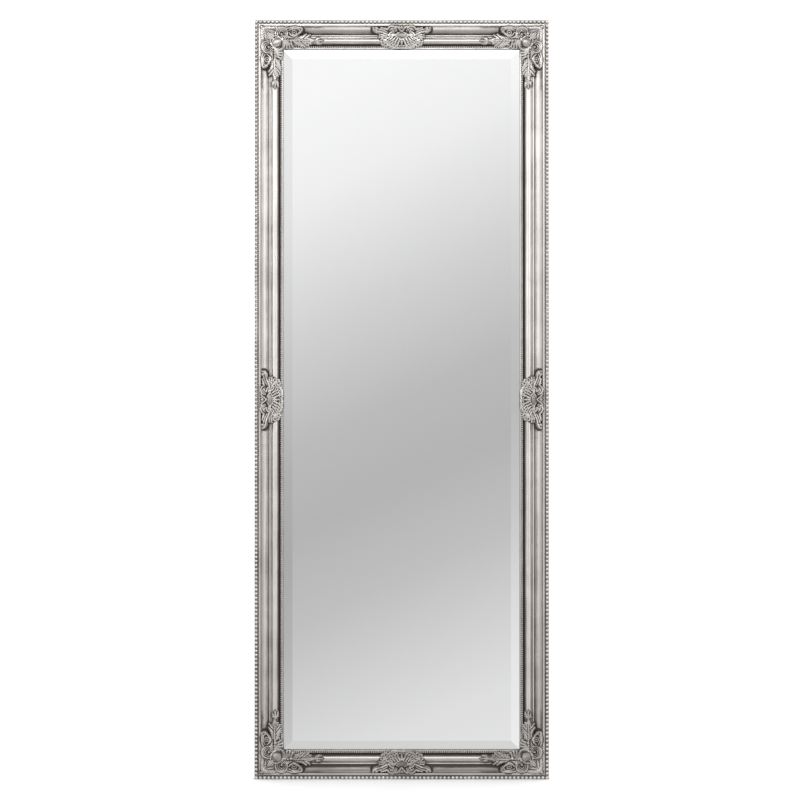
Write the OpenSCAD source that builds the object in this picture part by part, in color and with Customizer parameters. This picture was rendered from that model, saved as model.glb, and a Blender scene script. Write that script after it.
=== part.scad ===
// Full-length framed mirror with a carved, silver-leafed moulding.
// Millimetres. X runs across the mirror, Z up its height, and the front faces -Y.
// The origin is the middle of the bottom edge's flat face.
// Pieces are drawn lying on their backs (x across, y up the height, z towards the viewer)
// and module stand() then lifts them upright.

/* [Overall] */
// Width of the frame, outer edge to outer edge
frame_w = 640; // [600:1:760]
// Height of the frame, outer edge to outer edge
frame_h = 1650; // [1500:1:1800]

/* [Moulding] */
// Width of the course that carries the large pearls
outer_course_w = 9.5; // [9:0.1:11]
// Width of the flat fillet beside the large pearls
fillet_w = 4; // [3:0.1:6]
// Width of the quirk between fillet and cove
quirk_w = 1.1; // [0.8:0.1:2]
// Width of the cove
cove_w = 16.4; // [15:0.1:17.2]
// Radius of the cove
cove_r = 17.9; // [17.5:0.1:20]
// Radius of the small ridge at the foot of the cove
ridge_r = 1.9; // [1.5:0.1:2.4]
// Width of the course that carries the ridge
ridge_course_w = 6.5; // [6:0.1:8]
// Radius of the torus
torus_r = 7.2; // [6.5:0.1:7.6]
// Width of the deep groove inside the torus
groove_w = 2.6; // [2:0.1:4]
// Width of the course that carries the small pearls
inner_course_w = 5.5; // [5.2:0.1:7]
// Width of the plain fillet at the sight edge
sight_w = 2; // [1.5:0.1:3]
// Thickness of the lip that holds the glass
lip_t = 5; // [4.5:0.1:7]
// Height of the fillet above the sight edge
fillet_rise = 17; // [16:0.1:19]
// Depth of the large pearls' course below the fillet
outer_course_drop = 5; // [4:0.1:6]
// Height of the cove's foot above the sight edge
cove_rise = 4.5; // [4.2:0.1:6]
// Height of the torus axis above the sight edge
torus_rise = 3.5; // [3:0.1:4.5]
// Depth of the deep groove below the sight edge
groove_depth = 1.5; // [1:0.1:2]
// How far the lip covers the glass
rebate_lap = 6; // [5:0.1:7]
// Chamfer on the back's outer edge
back_chamfer = 1.5; // [0.5:0.1:2.5]
// Glue line in each mitre
mitre_gap = 0.1; // [0.05:0.01:0.3]

/* [Pearls] */
// Radius of a large pearl
pearl_r = 3.55; // [3:0.05:3.8]
// Spacing of the large pearls, evened out so that a pearl sits in each corner
pearl_pitch = 8.87; // [8.3:0.01:10]
// Radius of the thread of gesso between the large pearls
pearl_core_r = 1.5; // [1:0.1:2]
// Distance from the outer edge to a large pearl
pearl_inset = 0.85; // [0.6:0.05:1.2]
// Height of the large pearls' centres above their course
pearl_lift = 2; // [1.5:0.1:2.5]
// Radius of a small pearl
seed_r = 2.1; // [1.8:0.05:2.2]
// Spacing of the small pearls, evened out the same way
seed_pitch = 4.67; // [4.5:0.01:6]
// Radius of the thread between the small pearls
seed_core_r = 0.9; // [0.6:0.1:1.2]
// Distance from the sight edge to the small pearls' centres
seed_inset = 4.4; // [4.3:0.1:4.8]
// Height of the small pearls' centres above the sight edge
seed_lift = 0.8; // [0.5:0.1:1.2]

/* [Glass and back] */
// Thickness of the glass
glass_t = 5; // [4:0.5:6]
// Thickness left at the bevelled edge
glass_edge_t = 2; // [1.5:0.1:2.5]
// Width of the bevel
bevel_w = 25; // [20:0.5:30]
// Play between the glass and the rebate, each side
glass_play = 0.9; // [0.5:0.1:0.95]
// Thickness of the sheet behind the glass
sheet_t = 1.2; // [0.5:0.1:2]
// Thickness of the backing board
board_t = 5; // [3:0.5:6]
// Play between the board and the rebate, each side
board_play = 0.8; // [0.5:0.1:0.95]

/* [Corner ornaments] */
// Distance of the cabochon's centre from the torus axis, away from the outer edges
cabochon_set = 4.3; // [3:0.1:6]
// Half length of the cabochon, across the mitre
cabochon_l = 10.4; // [8:0.1:11]
// Half width of the cabochon
cabochon_w = 8.8; // [7:0.1:9]
// Height of the cabochon's top above the sight edge
cabochon_rise = 20; // [18:0.5:22]
// Distance from the corner to the volute's centre, along the rail
corner_volute_x = 98; // [92:1:106]
// Radius of the corner volute
corner_volute_r = 6.2; // [5.5:0.1:6.6]
// Distance from the corner to the small flower
corner_flower_x = 75; // [73:1:79]
// Distance from the corner to the widest part of the long leaf
corner_leaf_x = 106; // [100:1:112]
// Distance from the corner to the tip of the long leaf
corner_tip_x = 150; // [145:1:160]
// Half width of the long leaf
corner_leaf_w = 11.5; // [10:0.1:12.5]

/* [Centre ornaments] */
// Distance from the middle to the volute's centre
centre_volute_x = 57; // [52:1:62]
// Radius of the centre volute
centre_volute_r = 5.8; // [5:0.1:6.2]
// Half length of the cartouche
cartouche_l = 11; // [9:0.1:12]
// Half width of the cartouche
cartouche_w = 8; // [7:0.1:8.5]
// Distance from the middle to the flower on the torus
centre_flower_x = 37; // [34:1:40]
// Half length of the fringe of petals over the small pearls
fringe_x = 23; // [20:1:26]

/* [Hardware] */
// Height of the hangers below the top edge
hanger_drop = 340; // [250:5:450]
// Width of a hanger strap
strap_w = 16; // [14:0.5:18]
// Length of a hanger strap below its loop
strap_l = 46; // [44:1:55]
// Thickness of a strap
strap_t = 1.2; // [1:0.1:1.6]
// Radius of the ring's wire
wire_r = 1.5; // [1.2:0.1:1.6]
// Half width of the D-ring, to the middle of its wire
ring_half_w = 14; // [13:0.5:17]
// Straight length of the D-ring's legs
ring_leg = 5; // [4:0.5:8]
// Play of the ring in its loop
ring_play = 0.25; // [0.2:0.05:0.4]
// Distance from the loop to the first screw
strap_screw_1 = 11; // [10:0.5:12]
// Distance from the loop to the second screw
strap_screw_2 = 37; // [36:0.5:40]
// Radius of a hanger screw's shank
screw_r = 1.9; // [1.5:0.1:2.1]
// Length of a hanger screw in the wood
screw_l = 18; // [12:0.5:20]
// Length of a turn button
button_l = 34; // [32:0.5:40]
// Width of a turn button
button_w = 10; // [9:0.5:12]
// Thickness of a turn button
button_t = 1.2; // [0.8:0.1:1.6]
// Distance from the rebate to a turn button's screw
button_set = 11; // [9:0.5:14]
// Spacing of the turn buttons down each stile
button_pitch = 560; // [480:10:640]
// Radius of a turn button's screw
button_screw_r = 1.6; // [1.2:0.1:1.8]
// Length of a turn button's screw in the wood
button_screw_l = 12; // [8:0.5:12.5]
// Radius of a wall bumper
bumper_r = 7; // [5:0.5:9]
// Height of a wall bumper
bumper_t = 7; // [6.5:0.5:9]
// Distance of a wall bumper from both outer edges
bumper_set = 14; // [12:0.5:18]
// Leg of a V-nail
nail_leg = 8; // [6:0.5:9]
// Thickness of a V-nail
nail_t = 0.8; // [0.5:0.1:1]
// Depth of a V-nail in the wood
nail_depth = 10; // [7:0.5:12]

/* [Fits] */
// Clearance between pieces that lie against each other
seat = 0.05; // [0.02:0.01:0.1]
// Clearance under a pressed ornament
bed_gap = 0.12; // [0.1:0.01:0.2]
// Clearance beside and under a piece that turns
running = 0.3; // [0.25:0.05:0.4]

/* [Hidden] */
$fn = 48;
WOOD = "#c9c3be";
LEAF = "#d6d1cb";
STEEL = "#b9bcc0";

// Lines of the section, as distances in from the outer edge
quirk_s = outer_course_w + fillet_w;
cove_s = quirk_s + quirk_w;
ridge_s = cove_s + cove_w;
torus_out_s = ridge_s + ridge_course_w;
torus_s = torus_out_s + torus_r;
groove_s = torus_s + torus_r;
inner_s = groove_s + groove_w;
rail_face = inner_s + inner_course_w + sight_w;
rebate_s = rail_face - rebate_lap;
pearl_s = pearl_inset + pearl_r;
seed_s = rail_face - seed_inset;

// Levels of the section, as heights above the back plane
sheet_h = board_t + seat;
glass_h = sheet_h + sheet_t + seat;
bevel_lap = rebate_lap - glass_play;
lip_h = glass_h + glass_edge_t + (glass_t - glass_edge_t) * bevel_lap / bevel_w + seat;
sight_h = lip_h + lip_t;
groove_h = sight_h - groove_depth;
ridge_h = sight_h + cove_rise - 1.2;
fillet_h = sight_h + fillet_rise;
outer_course_h = fillet_h - outer_course_drop;
cove_foot_h = sight_h + cove_rise;
cove_axis_h = cove_foot_h + cove_r;
cove_top_h = cove_axis_h - sqrt(cove_r * cove_r - cove_w * cove_w);
torus_h = sight_h + torus_rise;
pearl_h = outer_course_h + pearl_lift;
seed_h = sight_h + seed_lift;
ornament_floor_h = groove_h - 1;
edge_mid = (back_chamfer + outer_course_h) / 2;

// Sides of the frame: name, turn about the viewing axis, distance to the middle, length
SIDES = [
    ["bottom", 0, frame_h / 2, frame_w],
    ["right", 90, frame_w / 2, frame_h],
    ["top", 180, frame_h / 2, frame_w],
    ["left", 270, frame_w / 2, frame_h]
];
hanger_s = rebate_s / 2;
hanger_y = frame_h - hanger_drop;
loop_r = wire_r + ring_play + strap_t;
ring_z = -(loop_r + seat);
button_s = rebate_s - button_set;
nail_s = [rebate_s * 0.36, rebate_s * 0.75];

// Height of the bed that an ornament lies on, at a distance s in from the outer edge
function cove_at(s) = cove_axis_h - sqrt(max(0, cove_r * cove_r - pow(ridge_s - s, 2)));
function torus_at(s) = torus_h + sqrt(max(0, torus_r * torus_r - pow(s - torus_s, 2)));
function bed_at(s) =
    s < cove_s ? fillet_h :
    s < ridge_s ? cove_at(s) :
    s < torus_s ? max(ridge_h + ridge_r, torus_at(s)) :
    max(seed_h + seed_r, torus_at(s));

// Height of the carving over the bed: high at the cove's rim, falling to the sight edge
function carve_at(s) = lookup(s, [
    [outer_course_w, fillet_h + 1.6],
    [cove_s + 4, fillet_h + 1.2],
    [ridge_s - 4, sight_h + 13],
    [torus_s, sight_h + 14],
    [seed_s, seed_h + seed_r + 1.6],
    [rail_face, seed_h + 1.5]
]);

// Lifts a piece from its back to its upright place, with the middle of the bottom edge at the origin
module stand() {
    translate([0, edge_mid, 0]) rotate([90, 0, 0]) children();
}

// Places a piece on one side of the frame: x along the side from its middle, y in from the outer edge
module on_side(side) {
    translate([0, frame_h / 2, 0])
        rotate(SIDES[side][1])
            translate([0, -SIDES[side][2], 0])
                children();
}

// Places a piece at the corner where a side begins: x and y run in from the corner
module on_corner(side) {
    on_side(side) translate([-SIDES[side][3] / 2, 0, 0]) children();
}

// Section of the moulding, x in from the outer edge and y up from the back
module moulding_section() {
    difference() {
        union() {
            polygon([
                [0, back_chamfer], [back_chamfer, 0], [rebate_s, 0], [rebate_s, lip_h],
                [rail_face, lip_h], [rail_face, sight_h], [inner_s, sight_h], [inner_s, groove_h],
                [groove_s, groove_h], [groove_s, torus_h], [torus_out_s, torus_h],
                [torus_out_s, torus_h - 1], [ridge_s + 2 * ridge_r, torus_h - 1],
                [ridge_s + 2 * ridge_r, ridge_h], [ridge_s, ridge_h], [ridge_s, fillet_h - 1.2],
                [cove_s, fillet_h - 1.2], [cove_s - quirk_w * 0.4, fillet_h - 2.2],
                [quirk_s + 0.1, fillet_h - 2.2], [quirk_s, fillet_h], [outer_course_w, fillet_h],
                [outer_course_w - 0.4, outer_course_h], [0, outer_course_h]
            ]);
            translate([ridge_s + ridge_r, ridge_h]) circle(r = ridge_r);
            translate([torus_s, torus_h]) circle(r = torus_r);
        }
        intersection() {
            translate([ridge_s, cove_axis_h]) circle(r = cove_r, $fn = 96);
            square([ridge_s, fillet_h + 10]);
        }
        translate([pearl_s, pearl_h]) circle(r = pearl_r + seat);
        translate([seed_s, seed_h]) circle(r = seed_r + seat);
    }
}

// Length of moulding along x, cut to 45 degrees at both ends
module mitred_rail(length) {
    half = length / 2 - mitre_gap;
    intersection() {
        rotate([90, 0, 90]) linear_extrude(height = length + 2, center = true) moulding_section();
        translate([0, 0, -1]) linear_extrude(height = fillet_h + 10)
            polygon([
                [-half, 0], [half, 0],
                [half - rail_face - 1, rail_face + 1], [rail_face + 1 - half, rail_face + 1]
            ]);
    }
}

// Frame member of one side, with its nail slots and screw holes
module frame_member(side) {
    length = SIDES[side][3];
    stile = side % 2 == 1;
    difference() {
        on_side(side) mitred_rail(length);
        for (end = [side, (side + 1) % 4]) on_corner(end) nail_pair(seat);
        if (stile) hanger_pair() hanger_screw_pair(seat);
        button_places(side) button_screw(seat);
    }
}

// Straight string of pearls along x, centred, with a pearl in each end
module pearl_string(count, pitch, bead_r, core_r) {
    span = (count - 1) * pitch;
    rotate([0, 90, 0]) rotate_extrude($fn = 24)
        intersection() {
            translate([0, -span]) square([4 * bead_r, 2 * span]);
            union() {
                translate([-core_r, -span / 2]) square([2 * core_r, span]);
                for (i = [0:count - 1]) translate([0, i * pitch - span / 2]) circle(r = bead_r, $fn = 20);
            }
        }
}

// Course of pearls of one side. The bottom and top courses hold the corner pearls.
module pearl_course(side, s, h, bead_r, core_r, pitch) {
    run = SIDES[side][3] - 2 * s;
    steps = round(run / pitch);
    corner = side % 2 == 0 ? 1 : -1;
    on_side(side) translate([0, s, h]) pearl_string(steps + corner, run / steps, bead_r, core_r);
}

module outer_pearls(side) {
    pearl_course(side, pearl_s, pearl_h, pearl_r, pearl_core_r, pearl_pitch);
}

module inner_pearls(side) {
    pearl_course(side, seed_s, seed_h, seed_r, seed_core_r, seed_pitch);
}

// Relief carved along a spine of [x, y] points, as a pressed ornament has it: no undercuts.
// half_w gives the half width at each point and top the height of its crest. The edges lie
// crown lower, and the sides go straight down into the bed. A veined relief has a groove
// along its crest.
module relief(spine, half_w, top, crown = 2, vein = 0) {
    across = vein > 0 ? [-1, -0.5, 0, 0.5, 1] : [-1, 0, 1];
    fall = vein > 0 ? [crown, 0, vein, 0, crown] : [crown, 0, crown];
    n = len(spine);
    m = len(across);
    k = n * m;
    ahead = [for (i = [0:n - 1])
        let (d = spine[min(i + 1, n - 1)] - spine[max(i - 1, 0)]) d / norm(d)];
    plan = [for (i = [0:n - 1], j = [0:m - 1])
        spine[i] + [-ahead[i].y, ahead[i].x] * across[j] * half_w[i]];
    upper = [for (i = [0:n - 1], j = [0:m - 1])
        [plan[i * m + j].x, plan[i * m + j].y, top[i] - fall[j]]];
    lower = [for (p = plan) [p.x, p.y, ornament_floor_h]];
    top_faces = [for (i = [0:n - 2], j = [0:m - 2])
        let (a = i * m + j)
        each [[a, a + 1, a + m + 1], [a, a + m + 1, a + m]]];
    floor_faces = [for (f = top_faces) [f[2] + k, f[1] + k, f[0] + k]];
    rim = concat(
        [for (i = [0:n - 1]) i * m + m - 1],
        [for (j = [m - 2:-1:0]) (n - 1) * m + j],
        [for (i = [n - 2:-1:0]) i * m],
        [for (j = [1:m - 2]) j]
    );
    rim_faces = [for (i = [0:len(rim) - 1])
        let (a = rim[i], b = rim[(i + 1) % len(rim)])
        each [[a, a + k, b + k], [a, b + k, b]]];
    polyhedron(concat(upper, lower), concat(top_faces, floor_faces, rim_faces));
}

// Points of a spiral round a centre, from the given angle and radius
function spiral(centre, r_out, r_in, start, sweep, count) = [
    for (i = [0:count])
        let (t = i / count, a = start + sweep * t)
        centre + (r_out + (r_in - r_out) * t) * [cos(a), sin(a)]
];

// Plan outline of a petal: pointed at both ends and widest past its middle
function kite(from, to, w) =
    let (d = (to - from) / norm(to - from), side = w * [-d.y, d.x], mid = from + (to - from) * 0.62)
    [from, mid + side, to, mid - side];

// Petal from one plan point to another: a low kite with a ridge along it. Its crest lies
// rise above the carving's surface, and its edges lie drop lower.
module petal(from, to, w, rise = 0, drop = 3.4) {
    crest = max(carve_at(from.y), carve_at(to.y)) + rise - ornament_floor_h;
    translate([0, 0, ornament_floor_h]) hull() {
        linear_extrude(height = crest - drop) polygon(kite(from, to, w));
        for (t = [0.25, 0.8])
            translate(from + (to - from) * t) cylinder(r1 = 0.3, r2 = 0, h = crest, $fn = 3);
    }
}

// Row of pointed lobes cut from one web, as [x, y, z] points: each lobe has a ridge from its
// root to its tip, and a notch lies between neighbours
module lobes(roots, tips, notches) {
    n = len(tips);
    top = concat(roots, tips, notches);
    k = len(top);
    rim = concat(
        [for (i = [0:n - 1]) each i < n - 1 ? [n + i, 2 * n + i] : [n + i]],
        [for (i = [n - 1:-1:0]) i]
    );
    m = len(rim);
    polyhedron(
        concat(top, [for (p = top) [p.x, p.y, ornament_floor_h]]),
        concat(
            [for (i = [0:n - 2])
                each [[i, n + i, 2 * n + i], [i, 2 * n + i, i + 1], [i + 1, 2 * n + i, n + i + 1]]],
            [for (i = [0:m - 1])
                let (a = rim[i], b = rim[(i + 1) % m])
                each [[b, a, a + k], [b, a + k, b + k]]],
            [[for (i = [m - 1:-1:0]) rim[i] + k]]
        )
    );
}

// Petals fanned clockwise round a point, each from r_in to r_out
module fan(centre, r_in, r_out, from, sweep, count, rise = 0) {
    step = sweep / (count - 1);
    function at(r, a, h) = let (p = centre + r * [cos(a), sin(a)]) [p.x, p.y, carve_at(p.y) + h];
    lobes(
        [for (i = [0:count - 1]) at(r_in, from - i * step, rise + 1)],
        [for (i = [0:count - 1]) at(r_out, from - i * step, rise)],
        [for (i = [0.5:count - 1.5]) at((r_in + r_out) * 0.52, from - i * step, rise - 2.4)]
    );
}

// Smooth dome with an oval outline, its rim at one height and its top at another
module dome(centre, half_l, half_w, rim, top, turn = 0, sides = 16) {
    rings = sides > 8 ? 4 : 2;
    translate([centre.x, centre.y, 0]) rotate(turn) scale([half_l, half_w, 1])
        rotate_extrude($fn = sides) polygon(concat(
            [[0, ornament_floor_h], [1, ornament_floor_h]],
            [for (i = [0:rings]) let (a = 90 * i / rings) [cos(a), rim + (top - rim) * sin(a)]]
        ));
}

// Ground of an ornament inside a plan outline: the web that joins its leaves, a little
// below the carving's surface
module ground(outline) {
    drop = 2;
    lines = [-1, cove_s + 4, ridge_s - 4, torus_s + 0.7, rail_face + 1];
    intersection() {
        rotate([90, 0, 90]) linear_extrude(height = 400, center = true)
            polygon(concat(
                [for (s = lines) [s, carve_at(s) - drop]],
                [[rail_face + 1, ornament_floor_h], [-1, ornament_floor_h]]
            ));
        linear_extrude(height = 100) polygon(outline);
    }
}

// Volute: a stem of plan points that runs on into a ring, with a button in its eye
module scroll(stem, centre, r, start, sweep, stem_w) {
    coil = spiral(centre, r - stem_w, r - stem_w * 1.2, start, sweep, 6);
    spine = concat(stem, coil);
    n = len(spine);
    half_w = [for (i = [0:n - 1]) i < len(stem) ? stem_w * (0.5 + 0.5 * i / len(stem)) : stem_w];
    eye_r = r - 1.7 * stem_w;
    eye_h = carve_at(centre.y);
    relief(spine, half_w, [for (i = [0:n - 1]) carve_at(spine[i].y) + 2 * i / n], crown = 2);
    dome(centre, eye_r, eye_r, eye_h + 0.6, eye_h + 2.4, sides = 6);
}

// Acanthus leaf along x over the torus: pairs of lobes that sweep forward from a midrib
module acanthus(from_x, wide_x, to_x, wide, pairs) {
    step = (wide_x - from_x) / pairs;
    crest = sight_h + 16;
    for (flip = [0, 1]) translate([0, torus_s, 0]) mirror([0, flip, 0])
        lobes(
            [for (i = [0:pairs - 1]) [from_x + i * step, -0.4, crest - 0.8]],
            [for (i = [0:pairs - 1])
                let (reach = wide * (0.6 + 0.4 * sin(60 + 80 * i / pairs)))
                [from_x + (i + 0.4) * step + 10, reach, carve_at(torus_s + reach * (1 - 2 * flip)) - 0.6]],
            [for (i = [0:pairs - 2])
                let (reach = wide * (0.36 + 0.2 * sin(60 + 80 * i / pairs)))
                [from_x + (i + 0.4) * step + 10, reach, crest - 4]]
        );
    relief(
        [[from_x, torus_s], [wide_x + 4, torus_s], [to_x, torus_s]],
        [1.6, 2.2, 1.6], [crest - 1.2, crest, crest - 1.8], crown = 2
    );
}

// Half of a corner ornament, on the arm that runs along x
module corner_half() {
    volute = [corner_volute_x, cove_s + corner_volute_r];
    flower = [corner_flower_x, torus_s];
    shell = [corner_volute_x - 38, ridge_s - 5];
    shell_r = shell.y - quirk_s - 0.4;
    arc = spiral(shell, shell_r - 2, shell_r - 2.6, 165, 200, 5);
    ground([
        [quirk_s + 2, quirk_s + 2], [shell.x, quirk_s + 2], [volute.x - 12, cove_s + 2],
        volute + [2, -4], volute + [2, 4], [volute.x - 14, ridge_s + 2], [flower.x + 6, ridge_s + 4],
        [corner_leaf_x, torus_s - 6], [corner_leaf_x + 4, torus_s], [corner_leaf_x, torus_s + 6],
        [flower.x + 4, groove_s - 1], [groove_s + 4, groove_s + 2], [groove_s + 3, groove_s + 3]
    ]);
    petal([quirk_s + 4, cove_s + 1], [quirk_s + 18, cove_s + 0.8], 2.8, 1.4);
    petal([quirk_s + 15, cove_s + 1], [shell.x - shell_r + 3, cove_s + 1.2], 2.8, 1.2);
    relief(
        arc, [for (i = [0:5]) 1.8 + 0.8 * sin(36 * i)], [for (p = arc) carve_at(p.y) + 1.2], crown = 2
    );
    fan(shell + [0, 5], 1, shell_r, 325, 110, 4, -1.4);
    scroll(
        [shell + [shell_r - 1, -5], [corner_volute_x - 13, cove_s + 2]],
        volute, corner_volute_r, -90, 290, 2.2
    );
    petal(shell + [shell_r - 3, 7], volute + [-6, 7], 3.4, 0);
    petal(shell + [shell_r - 2, 1], volute + [-7, 1], 3, -1.5);
    fan(flower, 1, 13, 245, 176, 5, 0.8);
    dome(flower + [1, 0], 3.2, 3.2, sight_h + 13, sight_h + 17, sides = 6);
    acanthus(corner_flower_x + 3, corner_leaf_x, corner_tip_x - 10, corner_leaf_w, 3);
    fan([corner_tip_x - 13, torus_s], 1, 11, 50, 100, 3, 0.4);
}

module corner_ornament(side) {
    mid = torus_s + cabochon_set;
    rays = [[0, 1], [22, 0.95], [44, 0.9]];
    on_corner(side) difference() {
        union() {
            corner_half();
            mirror([1, -1, 0]) corner_half();
            dome([mid, mid], cabochon_l, cabochon_w, sight_h + 13, sight_h + cabochon_rise, turn = 135);
            fan([mid, mid], cabochon_l - 2, cabochon_l + 8, 125, 160, 6, 1.6);
            for (ray = rays, flip = ray[0] == 0 ? [1] : [-1, 1])
                let (
                    a = 225 + flip * ray[0],
                    reach = ray[1] * (mid - quirk_s) / max(abs(cos(a)), abs(sin(a)))
                )
                relief(
                    [for (t = [0.24, 0.78, 1]) [mid, mid] + [cos(a), sin(a)] * reach * t],
                    [2.8, 6, 1.4], [for (r = [14, 20.4, 18.2]) sight_h + r], crown = 2.8
                );
            dome([quirk_s + 2, quirk_s + 2], 2.8, 2.8, fillet_h + 0.5, fillet_h + 3.5, sides = 6);
        }
        corner_bed();
    }
}

// Half of a centre ornament, towards +x
module centre_half() {
    volute = [centre_volute_x, cove_s + centre_volute_r];
    flower = [centre_flower_x, torus_s];
    ground([
        [-1, quirk_s + 1], [22, quirk_s + 2], [34, cove_s + 4], [flower.x + 2, ridge_s + 1],
        flower + [4, -5], flower + [4, 5], [fringe_x - 1, groove_s], [fringe_x - 3, seed_s - 2], [-1, seed_s]
    ]);
    petal([-1, quirk_s + 9.5], [10, quirk_s + 1.4], 1.8, 1);
    petal([8, cove_s + 6], [24, cove_s + 0.4], 3, 0.6);
    petal([40, cove_s + 10], [22, cove_s + 1], 3.4, 0.4);
    scroll([[24, ridge_s - 1], [42, ridge_s - 3.6]], volute, centre_volute_r, 95, -290, 2.1);
    fan([13, ridge_s - 1], 2, 12, 340, 140, 4, -0.8);
    petal([18, ridge_s + 3], [44, ridge_s + 3], 3.6, 0.4);
    petal([8, torus_s - 2], [flower.x - 2, torus_s + 0.5], 5, 0.8);
    fan(flower, 1, 10, 110, 220, 5, 0.8);
    dome(flower, 3, 3, sight_h + 13.5, sight_h + 17, sides = 6);
}

module centre_ornament(side) {
    axis = ridge_s + 2.5;
    on_side(side) difference() {
        union() {
            centre_half();
            mirror([1, 0, 0]) centre_half();
            dome([0, axis], cartouche_l, cartouche_w, sight_h + 12, sight_h + 17);
            fan([0, axis - 4], cartouche_l - 2, cartouche_l + 8, 150, 120, 6, 1);
            fan(
                [0, torus_s - fringe_x * 0.6],
                fringe_x * 0.7, seed_s - torus_s + fringe_x * 0.6 + 2.5, 128, 76, 7, 0.8
            );
            dome([0, quirk_s + 1], 2.2, 2.2, fillet_h + 0.5, fillet_h + 3, sides = 6);
        }
        side_bed(2 * centre_volute_x + 40);
    }
}

// Points on the upper half of a round bar, outside it, with the given number of flats
function flats_over(s, h, r, flats) = [
    for (i = [0.5:flats - 0.5])
        let (a = 180 - i * 180 / flats, reach = r / cos(90 / flats))
        [s + reach * cos(a), h + reach * sin(a)]
];

// Section of the bed that an ornament is pressed on: the moulding and its small pearls, a bed
// gap larger, with no undercuts and a few flats over each round
function bed_points() = concat(
    [[-1, sight_h - 20], [-1, fillet_h + bed_gap], [quirk_s + bed_gap, fillet_h + bed_gap]],
    [for (i = [0:4]) let (s = cove_s + cove_w * i / 4) [s, cove_at(s) + bed_gap]],
    [
        [ridge_s + 0.6 * ridge_r, ridge_h + ridge_r + bed_gap],
        [ridge_s + 1.4 * ridge_r, ridge_h + ridge_r + bed_gap],
        [torus_out_s - bed_gap, torus_h]
    ],
    flats_over(torus_s, torus_h, torus_r + bed_gap, 6),
    [
        [groove_s + bed_gap, groove_h + bed_gap], [inner_s - bed_gap, groove_h + bed_gap],
        [inner_s - bed_gap, sight_h + bed_gap], [seed_s - seed_r - seat - bed_gap, sight_h + bed_gap]
    ],
    flats_over(seed_s, seed_h, seed_r + seat + bed_gap, 4),
    [
        [seed_s + seed_r + seat + bed_gap, sight_h + bed_gap],
        [rail_face + bed_gap, sight_h + bed_gap], [rail_face + bed_gap, sight_h - 20]
    ]
);

// That bed along x
module side_bed(length) {
    rotate([90, 0, 90]) linear_extrude(height = length, center = true) polygon(bed_points());
}

// The same round a corner, mitred, as one sweep of the section
module corner_bed() {
    reach = corner_tip_x + 40;
    section = bed_points();
    n = len(section);
    polyhedron(
        concat(
            [for (p = section) [reach, p.x, p.y]],
            [for (p = section) [p.x, p.x, p.y]],
            [for (p = section) [p.x, reach, p.y]]
        ),
        concat(
            [[for (i = [0:n - 1]) i]],
            [for (k = [0, n], i = [0:n - 1])
                let (a = k + i, b = k + (i + 1) % n)
                [b, a, a + n, b + n]],
            [[for (i = [n - 1:-1:0]) i + 2 * n]]
        )
    );
}

// Outline of a plate with a bevel round its front, as one section across the given width
module bevelled_section(width) {
    half = width / 2;
    polygon([
        [-half, 0], [half, 0], [half, glass_edge_t], [half - bevel_w, glass_t],
        [bevel_w - half, glass_t], [-half, glass_edge_t]
    ]);
}

module bevelled_plate() {
    width = frame_w - 2 * (rebate_s + glass_play);
    height = frame_h - 2 * (rebate_s + glass_play);
    translate([0, frame_h / 2, glass_h]) intersection() {
        rotate([90, 0, 0]) linear_extrude(height = height, center = true) bevelled_section(width);
        rotate([90, 0, 90]) linear_extrude(height = width, center = true) bevelled_section(height);
    }
}

// Flat panel that lies in the rebate with its back at height h
module panel(play, h, thick) {
    width = frame_w - 2 * (rebate_s + play);
    height = frame_h - 2 * (rebate_s + play);
    translate([-width / 2, frame_h / 2 - height / 2, h]) cube([width, height, thick]);
}

// V-nail across a mitre, its legs along the two members
module v_nail(clear) {
    leg = nail_leg + nail_t + clear;
    wall = nail_t + 2 * clear;
    depth = nail_depth + 2 * clear;
    translate([-nail_leg, -clear, -clear]) cube([leg, wall, depth]);
    translate([-clear, -nail_leg, -clear]) cube([wall, leg, depth]);
}

module nail_pair(clear) {
    for (s = nail_s) translate([s, s, 0]) v_nail(clear);
}

// Places a hanger's parts on both stiles, with the loop's axis at the origin
module hanger_place(hand) {
    translate([hand * (frame_w / 2 - hanger_s), hanger_y, 0]) children();
}

module hanger_pair() {
    for (hand = [-1, 1]) hanger_place(hand) children();
}

// Round-headed wood screw that stands on a face at z = 0 and points into +z
module wood_screw(r, length, head_r, head_t, under) {
    rotate_extrude() polygon([
        [0, -under - head_t], [head_r * 0.55, -under - head_t], [head_r, -under - head_t * 0.45],
        [head_r, -under], [r, -under], [r, length - 2 * r], [0, length]
    ]);
}

// Hole of a wood screw: the shank and its point only
module screw_hole(r, length, clear) {
    translate([0, 0, -1]) cylinder(r = r + clear, h = length - 2 * r + 1);
    translate([0, 0, length - 2 * r]) cylinder(r1 = r + clear, r2 = clear, h = 2 * r + clear);
}

module hanger_screw_pair(clear) {
    for (y = [strap_screw_1, strap_screw_2])
        translate([0, -y, 0])
            if (clear > 0) screw_hole(screw_r, screw_l, clear);
            else wood_screw(screw_r, screw_l, 3.6, 2.2, strap_t + 2 * seat);
}

// Strap of a hanger, folded round the ring's straight bar
module hanger_strap(hand) {
    bore_r = wire_r + ring_play;
    color(STEEL) stand() hanger_place(hand) difference() {
        union() {
            translate([0, 0, -strap_t - seat]) linear_extrude(height = strap_t) union() {
                translate([-strap_w / 2, strap_w / 2 - strap_l]) square([strap_w, strap_l - strap_w / 2]);
                translate([0, strap_w / 2 - strap_l]) circle(r = strap_w / 2);
            }
            translate([0, 0, ring_z]) rotate([0, 90, 0]) cylinder(r = loop_r, h = strap_w, center = true);
        }
        translate([0, 0, ring_z]) rotate([0, 90, 0]) cylinder(r = bore_r, h = strap_w + 2, center = true);
        for (y = [strap_screw_1, strap_screw_2])
            translate([0, -y, -10]) cylinder(r = screw_r + running / 2, h = 20);
    }
}

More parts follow.
